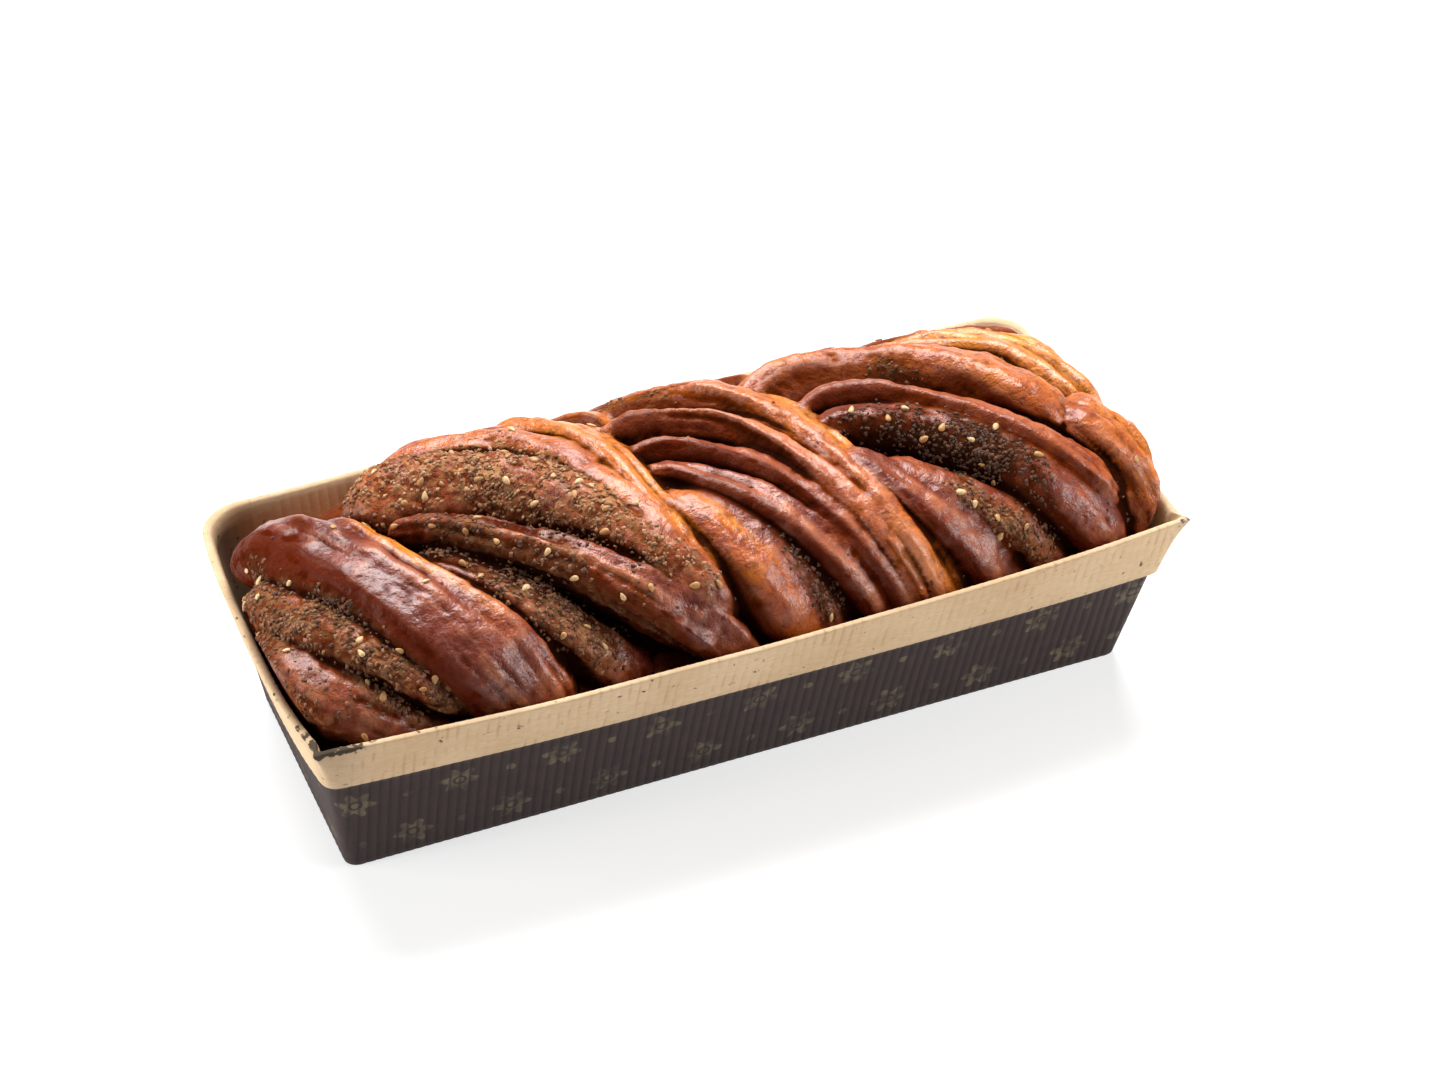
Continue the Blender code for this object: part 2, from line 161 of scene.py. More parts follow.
def corners(i, j, k, seed):
    # A repeatable number from -1 to 1 at each whole-number corner, by multiplying with large odd numbers and
    # mixing the bits
    n = (i * 73856093) ^ (j * 19349663) ^ (k * 83492791) ^ (seed * 1327217885)
    n = (n ^ (n >> 13)) * 1274126177 & 0xffffffff
    n = (n ^ (n >> 16)) * 668265263 & 0xffffffff
    return ((n >> 8) & 0xffff) / 32767.5 - 1


def noise(x, y, z, seed=0):
    # Smooth random field: the eight corner numbers of each unit cell, eased between the corners
    cell = [np.floor(v).astype(np.int64) for v in (x, y, z)]
    u, v, w = [t * t * (3 - 2 * t) for t in (x - cell[0], y - cell[1], z - cell[2])]
    total = 0
    for a in (0, 1):
        for b in (0, 1):
            for c in (0, 1):
                share = (u if a else 1 - u) * (v if b else 1 - v) * (w if c else 1 - w)
                total = total + share * corners(cell[0] + a, cell[1] + b, cell[2] + c, seed)
    return total


def noiseAt(points, size, seed=0, octaves=1):
    # The field above at points in mm, with a feature size in mm, and finer octaves at half strength each
    total = 0
    for octave in range(octaves):
        p = points * (2**octave / size)
        total = total + noise(p[..., 0], p[..., 1], p[..., 2], seed + octave) / 2**octave
    return total


def blur(field, reach):
    # Two running means along each axis of a grid
    for _ in range(2):
        for axis in (0, 1):
            pads = [(0, 0)] * field.ndim
            pads[axis] = (reach + 1, reach)
            sums = np.cumsum(np.pad(field, pads, mode="edge"), axis=axis)
            upper = np.take(sums, range(2 * reach + 1, sums.shape[axis]), axis=axis)
            lower = np.take(sums, range(0, sums.shape[axis] - 2 * reach - 1), axis=axis)
            field = (upper - lower) / (2 * reach + 1)
    return field


def gridNormals(points):
    # The cross product of the steps along the two directions of a closed-ring grid
    along = np.gradient(points, axis=0)
    around = (np.roll(points, -1, axis=1) - np.roll(points, 1, axis=1)) / 2
    return unit(np.cross(along, around))


def makePiece(name, points, faces, materials, attributes, slots=None):
    mesh = bpy.data.meshes.new(name)
    mesh.from_pydata((points * mm).tolist(), [], faces)
    for material in materials:
        mesh.materials.append(material)
    if slots is not None:
        mesh.polygons.foreach_set("material_index", slots)
    for key, values in attributes.items():
        layer = mesh.attributes.new(key, "FLOAT_VECTOR", "POINT")
        layer.data.foreach_set("vector", np.ascontiguousarray(values, dtype=np.float32).ravel())
    mesh.shade_smooth()
    mesh.update()
    obj = bpy.data.objects.new(name, mesh)
    bpy.context.scene.collection.objects.link(obj)
    return obj


def closeSeams(obj):
    # Joins points that lie on each other, so that poles and seams are closed
    shape = bmesh.new()
    shape.from_mesh(obj.data)
    bmesh.ops.remove_doubles(shape, verts=shape.verts, dist=0.01 * mm)
    bmesh.ops.dissolve_degenerate(shape, edges=shape.edges, dist=0.005 * mm)
    bmesh.ops.recalc_face_normals(shape, faces=shape.faces)
    shape.to_mesh(obj.data)
    shape.free()


def ringFaces(rows, columns):
    # Quads between neighbouring rings, each ring closed on itself
    row, column = np.meshgrid(np.arange(rows - 1), np.arange(columns), indexing="ij")
    beside = (column + 1) % columns
    return np.stack((row * columns + column, row * columns + beside,
                     (row + 1) * columns + beside, (row + 1) * columns + column), -1).reshape(-1, 4)


# Outline of the paper case, with its sides pushed out by the loaf

caseForm = {
    "height": 54.0, "baseHalfLength": 109.0, "baseHalfWidth": 37.0, "rimHalfLength": 116.5,
    "rimHalfWidth": 50.5, "paper": 1.5, "frontBulge": 5.0, "backBulge": 1.5, "leftBulge": 4.0,
    "rightBulge": 0.5, "baseCorner": 3.5, "frontCorner": 4.0, "backCorner": 10.0, "ear": 2.5,
}


def sideBulge(x, share, atFront):
    # Most at the middle of a long side: bulge * share^1.5 * (1 - |x / halfLength|^3)
    most = np.where(atFront, caseForm["frontBulge"], caseForm["backBulge"])
    halfLength = mix(caseForm["baseHalfLength"], caseForm["rimHalfLength"], share)
    return most * share**1.5 * (1 - np.minimum(1, abs(x) / halfLength) ** 3)


def endBulge(y, share, atLeft):
    # The same across an end
    most = np.where(atLeft, caseForm["leftBulge"], caseForm["rightBulge"])
    halfWidth = mix(caseForm["baseHalfWidth"], caseForm["rimHalfWidth"], share)
    return most * share**1.5 * (1 - np.minimum(1, abs(y) / halfWidth) ** 3)


# Loaf: ridges of dough across a rounded body

loafForm = {
    "halfLength": 114.0, "halfWidth": 47.5, "shoulder": 47.0, "rise": 32.0, "roundness": 2.3,
    "endDropStart": 84.0, "endDropLength": 32.0, "endDrop": 0.6,
    "coreDepth": 15.0, "coreHalfLength": 111.0, "coreMiddle": 46.0,
    "hollowStart": -66.0, "hollowLength": 18.0, "hollowDepth": 9.0,   # lower at the back of the left end
    "tuckFrom": 4, "tuckTo": 24, "tuckPush": 40,                      # under the shoulders, out to the paper
    "endShare": 0.14, "endShrink": 0.8, "endSink": 0.45,              # how a ridge closes at its ends
    "wander": 0.09, "wanderLength": 13.0, "guideDepth": 8.0,
    "skirt": 2.4, "skirtSlope": 5.0, "sharpSlope": 0.75, "softness": 0.3,
    "caseGap": 0.5, "pressSoft": 2.5, "overhang": 0.35,
    "rayDepth": 24.0, "fanStart": 94.0, "fanRadius": 25.0, "missed": -60.0,
    "step": 0.69, "coarseStep": 5.0, "lowestFine": -14.0, "sampleStep": 0.9, "outlineSamples": 7201,
}
# In reliefForm, valley, deep and fineDark give the painted shade in creases and furrows, finePale and
# crestPale the painted highlight on crests
reliefForm = {
    "smoothing": 0.6, "lump": 0.7, "lumpSize": 13.0, "wrinkleLength": 22.0, "wrinkleWidth": 1.9,
    "granule": 0.5, "granuleSize": 2.0, "blister": 0.16, "blisterSize": 2.8,
    "valleyReach": 5, "valleyDepth": 1.6, "valleyShare": 0.8,
    "deepReach": 14, "deepDepth": 4.0, "deepShare": 0.95, "patchSize": 9.0, "patchShare": 0.5,
    "creaseHerbs": 0.25, "creaseHerbsFrom": -0.2,
    "fineReach": 4, "fineDepth": 0.35, "finePale": 0.5, "fineDark": 0.3, "fineDarkFrom": 0.2,
    "flankWidth": 40, "shadeWidth": 36, "crestPale": 1.3, "crestWidth": 12, "crestLength": 0.6,
    "strandGap": 400,
}

# What a ridge has unless it says otherwise. Form: how steep its flanks are, how much steeper the front left
# one is, how sharp its crest, how rough its skin. Looks: flank is the orange stretched side, from an angle on
# and at a place along it, under the painted shade on its front left side away from the light, partly dark
# filling smeared there, crestTurn where a painted highlight runs along it, herbTone the herbs from near
# black (0) to tan (1)
ridgeDefaults = {"steep": 1.5, "lean": 0.6, "sharp": 0.25, "rough": 1.0, "flank": 0.0, "flankFrom": 10,
                 "flankAlong": (0.5, 1.5), "under": 0.8, "underFrom": 2, "crestTurn": 10, "herbTone": 0.5,
                 "herbs": ()}

# Each ridge: four stations in x and in the angle round the loaf (0 front shoulder, 90 top, 180 back
# shoulder), radii, and depth. Tone runs from dark red (-1) to orange (1), ribs is the height of its wrinkles,
# and herbs are patches as (middle along, half length, middle round in degrees, half width, strength)
ridges = (
    {"name": "endFront", "x": (-114, -98, -80, -56), "angle": (118, 80, 33, -32),
     "radius": (8.5, 10.5, 10.5, 8), "depth": 0.0, "steep": 1.0, "lean": 0.7, "sharp": 0.1, "rough": 1.8,
     "ribs": 0.45, "tone": -0.65, "under": 1.1, "underFrom": 8, "herbTone": 0.15,
     "herbs": ((0.5, 0.5, -75, 32, 1.0), (0.5, 0.6, -20, 60, 0.15))},
    {"name": "endCrest", "x": (-104, -89, -71, -54), "angle": (112, 77, 32, -30),
     "radius": (4, 6, 6.5, 5.5), "depth": 0.3, "steep": 1.0, "lean": -0.3, "rough": 1.6, "ribs": 0.5,
     "tone": -0.6, "flank": 0.5, "flankFrom": 35},
    {"name": "endFlank", "x": (-94, -79.5, -64, -51), "angle": (106, 70, 34, -28),
     "radius": (4.5, 5, 5.5, 5.5), "depth": 2.2, "ribs": 0.5, "tone": -0.3, "flank": 1.2, "flankFrom": -15,
     "flankAlong": (0.3, 0.32)},
    {"name": "cornerUpper", "x": (-115, -107, -96, -76), "angle": (95, 67, 37, -2),
     "radius": (7, 9, 7, 4.5), "depth": 2.5, "rough": 2.2, "ribs": 0.35, "tone": -0.2, "under": 0.9,
     "herbTone": 0.45, "herbs": ((0.25, 0.6, 0, 140, 0.75), (0.9, 0.4, 0, 140, 0.8))},
    {"name": "cornerLower", "x": (-118, -113, -101, -76), "angle": (79, 40, 8, -22),
     "radius": (9, 10, 10, 7), "depth": 1.5, "lean": 0.2, "rough": 1.8, "ribs": 0.35, "tone": -0.45,
     "under": 0.5, "herbTone": 0.35, "herbs": ((0.75, 0.35, 60, 35, 0.9), (0.3, 0.6, 0, 90, 0.5))},
    {"name": "humpFront", "x": (-84, -60, -34, -8), "angle": (113, 108, 82, 14),
     "radius": (13, 13, 12.5, 7), "depth": -1.5, "lean": 0.2, "sharp": 0.1, "rough": 2.4, "ribs": 0.3,
     "tone": -0.25, "flank": 0.1, "under": 0.0, "herbTone": 0.85,
     "herbs": ((0.5, 0.5, -50, 35, 0.8), (0.45, 0.75, 0, 120, 0.72))},
    {"name": "humpBack", "x": (-74, -50, -32, -14), "angle": (138, 122, 96, 44), "radius": (9, 10, 9, 5),
     "depth": -1.0, "steep": 1.2, "rough": 1.6, "ribs": 0.45, "tone": 0.1, "flank": 1.0, "flankFrom": 5,
     "under": 0.0, "herbTone": 0.8, "herbs": ((0.5, 0.4, -40, 50, 0.4),)},
    {"name": "humpRidge", "x": (-80, -52, -26, 2), "angle": (90, 67, 30, -30),
     "radius": (4.5, 6.5, 7.5, 6.5), "depth": -0.8, "lean": 0.8, "sharp": 0.5, "rough": 2.2, "ribs": 0.9,
     "tone": -0.4, "flank": 0.1, "underFrom": 12, "crestTurn": 20, "herbTone": 0.3,
     "herbs": ((0.5, 0.55, -70, 40, 0.8), (0.3, 0.4, 10, 80, 0.6))},
    {"name": "humpUnder", "x": (-80, -63, -48, -29), "angle": (78, 56, 22, -32), "radius": (5, 7, 8.5, 8),
     "depth": 3.6, "sharp": 0.5, "rough": 1.8, "ribs": 0.8, "tone": -0.5, "herbTone": 0.45,
     "herbs": ((0.4, 0.6, 50, 40, 0.9), (0.6, 0.5, -10, 60, 0.5))},
    {"name": "humpTail", "x": (-44, -27, -18, -13), "angle": (143, 115, 72, 28), "radius": (9, 8.5, 7.5, 5),
     "depth": 0.0, "ribs": 0.7, "tone": 0.55, "flank": 0.5, "under": 0.2},
    {"name": "smoothFront", "x": (-14, -5, 5, 17), "angle": (78, 52, 16, -32), "radius": (4, 8.5, 11.5, 11),
     "depth": 0.5, "sharp": 0.1, "ribs": 0.2, "tone": 0.1, "flank": 1.0, "flankFrom": 0,
     "flankAlong": (0.3, 0.3), "herbs": ((0.8, 0.3, -70, 25, 0.5),)},
    {"name": "smoothBack", "x": (-9, 2, 12, 23), "angle": (78, 58, 27, -26), "radius": (4, 5.5, 6, 6),
     "depth": 2.4, "ribs": 0.2, "tone": -0.4, "herbTone": 0.1, "herbs": ((0.75, 0.35, 0, 90, 0.8),)},
    {"name": "pleatBack", "x": (-18, 20, 38, 57), "angle": (143, 108, 50, -32), "radius": (6.5, 7.5, 8, 8),
     "depth": 0.5, "sharp": 0.4, "rough": 1.8, "ribs": 1.1, "tone": 0.25, "flank": 1.0, "flankFrom": -10,
     "flankAlong": (0.52, 0.22), "underFrom": -8, "herbs": ((0.12, 0.15, 0, 80, 0.5),)},
    {"name": "pleatUpper", "x": (-21, 8, 28, 49), "angle": (107, 98, 61, -28), "radius": (5, 6.5, 6.5, 6.5),
     "depth": -0.5, "sharp": 0.65, "rough": 1.9, "ribs": 1.1, "tone": 0.0, "flank": 0.3, "under": 1.2,
     "underFrom": 4, "crestTurn": 18},
    {"name": "pleatMiddle", "x": (-15, 8, 26, 43), "angle": (94, 82, 46, -26), "radius": (4, 4, 4.5, 4.5),
     "depth": 0.3, "lean": 0.8, "sharp": 0.65, "rough": 1.9, "ribs": 0.5, "tone": -0.4, "flank": 0.1,
     "under": 1.2, "underFrom": 16, "crestTurn": 24},
    {"name": "pleatLower", "x": (-15, 2, 19, 35), "angle": (87, 71, 37, -28),
     "radius": (4.5, 5.5, 6.5, 6.5), "depth": 0.8, "lean": 0.8, "sharp": 0.65, "rough": 1.9, "ribs": 0.5,
     "tone": -0.35, "flank": 0.1, "under": 1.2, "underFrom": 16, "crestTurn": 24, "herbTone": 0.1,
     "herbs": ((0.5, 0.5, -80, 35, 0.9),)},
    {"name": "swellFront", "x": (35, 45, 56, 71), "angle": (78, 50, 20, -32), "radius": (5, 8.5, 10.5, 10),
     "depth": 0.4, "sharp": 0.45, "rough": 1.6, "ribs": 0.2, "tone": -0.5, "underFrom": 20, "crestTurn": 30},
    {"name": "swellBack", "x": (45, 59, 73, 87), "angle": (68, 45, 16, -28), "radius": (4.5, 6, 7, 7),
     "depth": 2.6, "ribs": 0.25, "tone": -0.3, "herbTone": 0.45, "herbs": ((0.5, 0.6, 0, 100, 0.6),)},
    {"name": "seededFace", "x": (32, 58, 81, 103), "angle": (88, 77, 43, -28), "radius": (5, 9, 12, 10.5),
     "depth": 0.5, "sharp": 0.1, "ribs": 0.15, "tone": -0.5, "flank": 0.2, "herbTone": 0.0,
     "herbs": ((0.38, 0.42, -45, 95, 1.0),)},
    {"name": "seededCrest", "x": (33, 58, 83, 102), "angle": (94, 89, 62, 20), "radius": (3.5, 4, 5.5, 6),
     "depth": -0.7, "lean": 0.3, "sharp": 0.6, "rough": 1.8, "ribs": 0.35, "tone": -0.15, "flank": 0.1,
     "underFrom": 12, "crestTurn": 16},
    {"name": "farFront", "x": (22, 51, 76, 97), "angle": (116, 122, 101, 62), "radius": (6.5, 9, 9, 7),
     "depth": 0.0, "lean": 0.7, "sharp": 0.35, "rough": 1.6, "ribs": 0.5, "tone": 0.25, "flank": 0.5,
     "under": 0.6, "underFrom": -6, "crestTurn": 20, "herbTone": 0.2, "herbs": ((0.5, 0.2, -62, 30, 0.9),)},
    {"name": "farCrest", "x": (60, 80, 97, 108), "angle": (142, 125, 104, 70), "radius": (7.5, 8.5, 9, 8.5),
     "depth": 3.6, "steep": 1.1, "ribs": 1.3, "tone": 0.7, "flank": 0.6, "under": 0.2},
    {"name": "endRib", "x": (78, 92, 102, 108), "angle": (150, 136, 118, 94), "radius": (6, 6.5, 6.5, 6),
     "depth": 4.8, "steep": 1.1, "ribs": 1.3, "tone": 0.75, "flank": 0.6, "under": 0.2},
    {"name": "endNose", "x": (97, 106, 111, 114), "angle": (70, 50, 22, -30), "radius": (6, 8.5, 9, 9),
     "depth": 0.8, "rough": 2.0, "ribs": 0.9, "tone": 0.1, "flank": 0.7, "under": 0.3, "herbTone": 0.7,
     "herbs": ((0.6, 0.3, -60, 40, 0.7), (0.7, 0.4, 10, 90, 0.4))},
    {"name": "endKnot", "x": (102, 109, 113, 114), "angle": (74, 60, 38, 10), "radius": (5.5, 7, 7.5, 7),
     "depth": 1.5, "rough": 1.8, "ribs": 0.8, "tone": 0.3, "flank": 0.7, "under": 0.2, "herbTone": 0.8,
     "herbs": ((0.6, 0.5, 0, 90, 0.35),)},
)

# Ridges of the far side, on one pattern: where each leaves the top and its depth, and looks taken in turn
backRidges = {
    "starts": ((-60, 8.5), (-38, 1.0), (-14, 2.0), (8, 1.0), (32, 2.5), (58, 1.5), (84, 2.5), (107, 3.5)),
    "drift": (0, -10, -21, -33), "angle": (130, 146, 163, 180), "radius": (8.0, 9.5, 10.0, 9.0),
    "tones": (0.3, -0.1, 0.5, 0.1), "herbs": ((), ((0.5, 0.5, 60, 40, 0.8),)),
}


def allRidges():
    for ridge in ridges:
        yield {**ridgeDefaults, **ridge}
    for number, (start, depth) in enumerate(backRidges["starts"]):
        yield {**ridgeDefaults, "name": f"back{number}", "x": tuple(start + d for d in backRidges["drift"]),
               "angle": backRidges["angle"], "radius": backRidges["radius"], "depth": depth,
               "tone": backRidges["tones"][number % 4], "flank": -0.7, "ribs": 0.25, "lean": -0.4,
               "herbs": backRidges["herbs"][number % 2]}


def softHold(value, limit):
    # Leaves small values alone and bends larger ones so that they only come near the limit
    start = limit - loafForm["pressSoft"]
    past = np.maximum(0, abs(value) - start)
    held = start + loafForm["pressSoft"] * (1 - np.exp(-past / loafForm["pressSoft"]))
    return np.where(past > 0, np.sign(value) * held, value)


def pressIn(points, gap):
    # Dough that meets the paper lies flat against it: each coordinate is held inside the case's walls and
    # corners, and above the rim it may lean out a little
    x, y = points[..., 0], points[..., 1]
    z = np.maximum(points[..., 2], caseForm["paper"] + gap)
    share = np.minimum(1, z / caseForm["height"])
    over = loafForm["overhang"] * np.maximum(0, z - caseForm["height"])
    halfLength = (mix(caseForm["baseHalfLength"], caseForm["rimHalfLength"], share)
                  - caseForm["paper"] - gap + over)
    halfWidth = (mix(caseForm["baseHalfWidth"], caseForm["rimHalfWidth"], share)
                 - caseForm["paper"] - gap + over)
    y = softHold(y, halfWidth + sideBulge(x, share, y < 0))
    x = softHold(x, halfLength + endBulge(y, share, x < 0))
    corner = caseForm["backCorner"]
    pastX, pastY = abs(x) - (halfLength - corner), abs(y) - (halfWidth - corner)
    reach = np.hypot(pastX, pastY)
    outside = (pastX > 0) & (pastY > 0) & (reach > corner)
    shrink = corner / np.maximum(reach, 1e-6)
    x = np.where(outside, np.sign(x) * (halfLength - corner + pastX * shrink), x)
    y = np.where(outside, np.sign(y) * (halfWidth - corner + pastY * shrink), y)
    return np.stack((x, y, z), -1)


def throughFour(values, share):
    # The cubic through four values at shares 0, 1/3, 2/3 and 1
    t = 3 * share
    return (-values[0] * (t - 1) * (t - 2) * (t - 3) / 6 + values[1] * t * (t - 2) * (t - 3) / 2
            - values[2] * t * (t - 1) * (t - 3) / 2 + values[3] * t * (t - 1) * (t - 2) / 6)


def crustPoint(x, angle, depth):
    # A superellipse across the loaf: y = -(w - d) cos^(2/n), z = shoulder + (rise - d) sin^(2/n), lower at
    # the ends
    end = np.clip((abs(x) - loafForm["endDropStart"]) / loafForm["endDropLength"], 0, 1)
    rise = loafForm["rise"] * np.sqrt(1 - loafForm["endDrop"] * end**2) - depth
    turn = np.radians(angle)
    bulge = sideBulge(x, 1.0, np.cos(turn) > 0)
    y = -(loafForm["halfWidth"] + bulge - depth) * signedPower(np.cos(turn), 2 / loafForm["roundness"])
    z = loafForm["shoulder"] + rise * signedPower(np.sin(turn), 2 / loafForm["roundness"])
    return np.stack((x + 0 * y, y, z), -1)


def ridgeLine(ridge):
    # Centres, radii and the three directions at close stations along a ridge; both its ends shrink and sink
    guide = crustPoint(throughFour(ridge["x"], np.linspace(0, 1, 25)),
                       throughFour(ridge["angle"], np.linspace(0, 1, 25)), loafForm["guideDepth"])
    length = np.linalg.norm(np.diff(guide, axis=0), axis=1).sum()
    share = np.linspace(0, 1, int(length / loafForm["sampleStep"]) + 2)
    run = share * length / loafForm["wanderLength"]
    uneven = 1 + loafForm["wander"] * noise(run, 0 * run, 0 * run, len(ridge["name"]))
    full = throughFour(ridge["radius"], share) * uneven
    closing = np.maximum(0, 1 - np.minimum(share, 1 - share) / loafForm["endShare"])
    depth = ridge["depth"] + full * (1 + loafForm["endSink"] * closing**2)
    x, angle = throughFour(ridge["x"], share), throughFour(ridge["angle"], share)
    centre = crustPoint(x, angle, depth)
    along = unit(np.gradient(centre, axis=0))
    out = crustPoint(x, angle, 0.0) - crustPoint(x, angle, full)
    across = unit(np.cross(out, along))
    radius = full * np.sqrt(1 - loafForm["endShrink"] * closing**2)
    return {"centre": centre, "radius": radius, "along": along, "across": across,
            "out": np.cross(along, across), "share": share, "length": length}


def loafAngles():
    # Angles round the loaf at even steps on its outline: fine above the case, coarse below
    fine = np.linspace(-90, 270, loafForm["outlineSamples"])
    outline = crustPoint(0 * fine, fine, 0.0)
    run = np.concatenate(([0], np.cumsum(np.linalg.norm(np.diff(outline, axis=0), axis=1))))
    low, high = loafForm["lowestFine"], 180 - loafForm["lowestFine"]
    runLow, runHigh = np.interp((low, high), fine, run)
    stops = []
    for start, end, step in ((0, runLow, loafForm["coarseStep"]), (runLow, runHigh, loafForm["step"]),
                             (runHigh, run[-1], loafForm["coarseStep"])):
        stops.append(np.linspace(start, end, int((end - start) / step) + 1, endpoint=False))
    return np.interp(np.concatenate(stops), run, fine)


def loafRays():
    # Rays leave a smaller outline inside the loaf; past fanStart they turn to point out of its two ends
    angles = loafAngles()
    start = loafForm["fanStart"]
    fan = int(0.5 * math.pi * loafForm["fanRadius"] / loafForm["step"])
    tilt = np.linspace(0, math.pi / 2, fan + 1)[1:]
    straight = np.linspace(-start, start, int(2 * start / loafForm["step"]) + 1)
    x = np.concatenate((np.full(fan, -start), straight, np.full(fan, start)))[:, None]
    tilt = np.concatenate((-tilt[::-1], 0 * straight, tilt))[:, None]
    origin = crustPoint(x, angles[None, :], loafForm["rayDepth"])
    outer = crustPoint(x, angles[None, :], 0.0)
    slope = np.linalg.norm(outer - origin, axis=-1) / loafForm["rayDepth"]
    sideways = unit(outer - origin)
    forward = np.zeros_like(origin)
    forward[..., 0] = 1.0
    direction = sideways * np.cos(tilt)[..., None] + forward * np.sin(tilt)[..., None]
    level = np.zeros_like(slope)
    middle = np.stack((x + level, level, level + loafForm["coreMiddle"]), -1)
    origin = mix(origin, middle, np.sin(tilt)[..., None] ** 2)
    return {"angle": angles[None, :] + 0 * x, "origin": origin, "way": direction, "tilt": tilt + 0 * angles,
            "x": x + 0 * angles, "slope": slope}


def coreHeight(rays):
    # The plain body coreDepth under the ridges: 1 / (|cos / side|^4 + |sin / reach|^4)^(1/4) along each ray,
    # so that the ends are rounded off, and out to the paper below the shoulders
    behind = np.maximum(0, -np.cos(np.radians(rays["angle"]))) ** 0.5
    hollow = np.clip((loafForm["hollowStart"] - rays["origin"][..., 0]) / loafForm["hollowLength"], 0, 1)
    depth = loafForm["coreDepth"] + hollow * behind * loafForm["hollowDepth"]
    side = (loafForm["rayDepth"] - depth) * rays["slope"]
    reach = loafForm["coreHalfLength"] - loafForm["fanStart"]
    height = ((np.cos(rays["tilt"]) / side) ** 4 + (abs(np.sin(rays["tilt"])) / reach) ** 4) ** -0.25
    start, end = loafForm["tuckFrom"], loafForm["tuckTo"]
    below = smooth(-start, -end, rays["angle"]) + smooth(180 + start, 180 + end, rays["angle"])
    return height + loafForm["tuckPush"] * below


def ridgeHeights(rays, strands, lines):
    # How far along each ray each ridge's outside lies, for the balls along it: t + r - k (r - sqrt(r^2 -
    # d^2)), a round top on steep flanks, steepest on its front left side, with a skirt just past its edge
    missed = loafForm["missed"]
    heights = np.full((len(lines),) + rays["tilt"].shape, missed)
    nearest = np.zeros(heights.shape, dtype=np.int32)
    columnX = rays["x"][:, 0]
    isFan = rays["tilt"][:, 0] != 0
    for number, (ridge, line) in enumerate(zip(strands, lines)):
        for sample, (centre, radius) in enumerate(zip(line["centre"], line["radius"])):
            reach = radius + loafForm["skirt"]
            atEnd = (columnX * centre[0] > 0) & (abs(centre[0]) > loafForm["fanStart"] - reach)
            near = np.where(isFan, atEnd, abs(columnX - centre[0]) < reach)
            columns = np.flatnonzero(near)
            if not len(columns):
                continue
            part = slice(columns[0], columns[-1] + 1)
            toCentre = centre - rays["origin"][part]
            way, across = rays["way"][part], line["across"][sample]
            t = (toCentre * way).sum(-1)
            miss = np.sqrt(np.maximum((toCentre**2).sum(-1) - t**2, 0))
            aside = -(toCentre * across).sum(-1) + t * (way * across).sum(-1)
            steep = ridge["steep"] * (1 - ridge["lean"] * np.clip(aside / radius, -1, 1))
            roundFall = radius - np.sqrt(np.maximum(radius**2 - miss**2, 0))
            found = t + radius - steep * mix(roundFall, loafForm["sharpSlope"] * miss, ridge["sharp"])
            found = found - loafForm["skirtSlope"] * np.maximum(miss - radius, 0)
            found = np.where(miss < reach, found, missed)
            better = found > heights[number, part]
            heights[number, part][better] = found[better]
            nearest[number, part][better] = sample
    return heights, nearest


def loafLooks(points, lines, strands, best, nearest):
    # For every point: its place along and round its ridge in mm, and how its ridge looks there
    names = ("along", "around", "herb", "flank", "tone", "ribs", "herbTone", "under", "rough", "paintedCrestLine")
    looks = {name: np.zeros(best.shape) for name in names}
    looks["herbTone"] += ridgeDefaults["herbTone"]
    looks["rough"] += ridgeDefaults["rough"]
    for number, (line, ridge) in enumerate(zip(lines, strands)):
        here = best == number
        if not here.any():
            continue
        sample = nearest[number][here]
        offset = points[here] - line["centre"][sample]
        step = (offset * line["along"][sample]).sum(-1)
        share = line["share"][sample] + step / line["length"]
        turn = np.degrees(np.arctan2((offset * line["across"][sample]).sum(-1),
                                     (offset * line["out"][sample]).sum(-1)))
        side = turn if ridge["flank"] >= 0 else -turn
        flanked = smooth(ridge["flankFrom"], ridge["flankFrom"] + reliefForm["flankWidth"], side)
        # Painted shade on the front left side of the ridge, away from the light, partly dark filling smeared
        # there
        shaded = smooth(ridge["underFrom"], ridge["underFrom"] - reliefForm["shadeWidth"], side)
        # A painted highlight along the crest line
        crest = belt(turn, ridge["crestTurn"], reliefForm["crestWidth"])
        crest = crest * belt(share, 0.5, reliefForm["crestLength"])
        looks["along"][here] = share * line["length"] + reliefForm["strandGap"] * number
        looks["around"][here] = np.radians(turn) * line["radius"][sample]
        looks["flank"][here] = abs(ridge["flank"]) * flanked * belt(share, *ridge["flankAlong"])
        looks["under"][here] = ridge["under"] * shaded
        looks["paintedCrestLine"][here] = reliefForm["crestPale"] * ridge["sharp"] * crest
        for name in ("tone", "ribs", "herbTone", "rough"):
            looks[name][here] = ridge[name]
        for middle, half, angle, width, strength in ridge["herbs"]:
            patch = strength * belt(share, middle, half) * belt(turn, angle, width)
            looks["herb"][here] = np.maximum(looks["herb"][here], patch)
    for name in names[2:]:
        looks[name] = blur(looks[name], 2)
    return looks


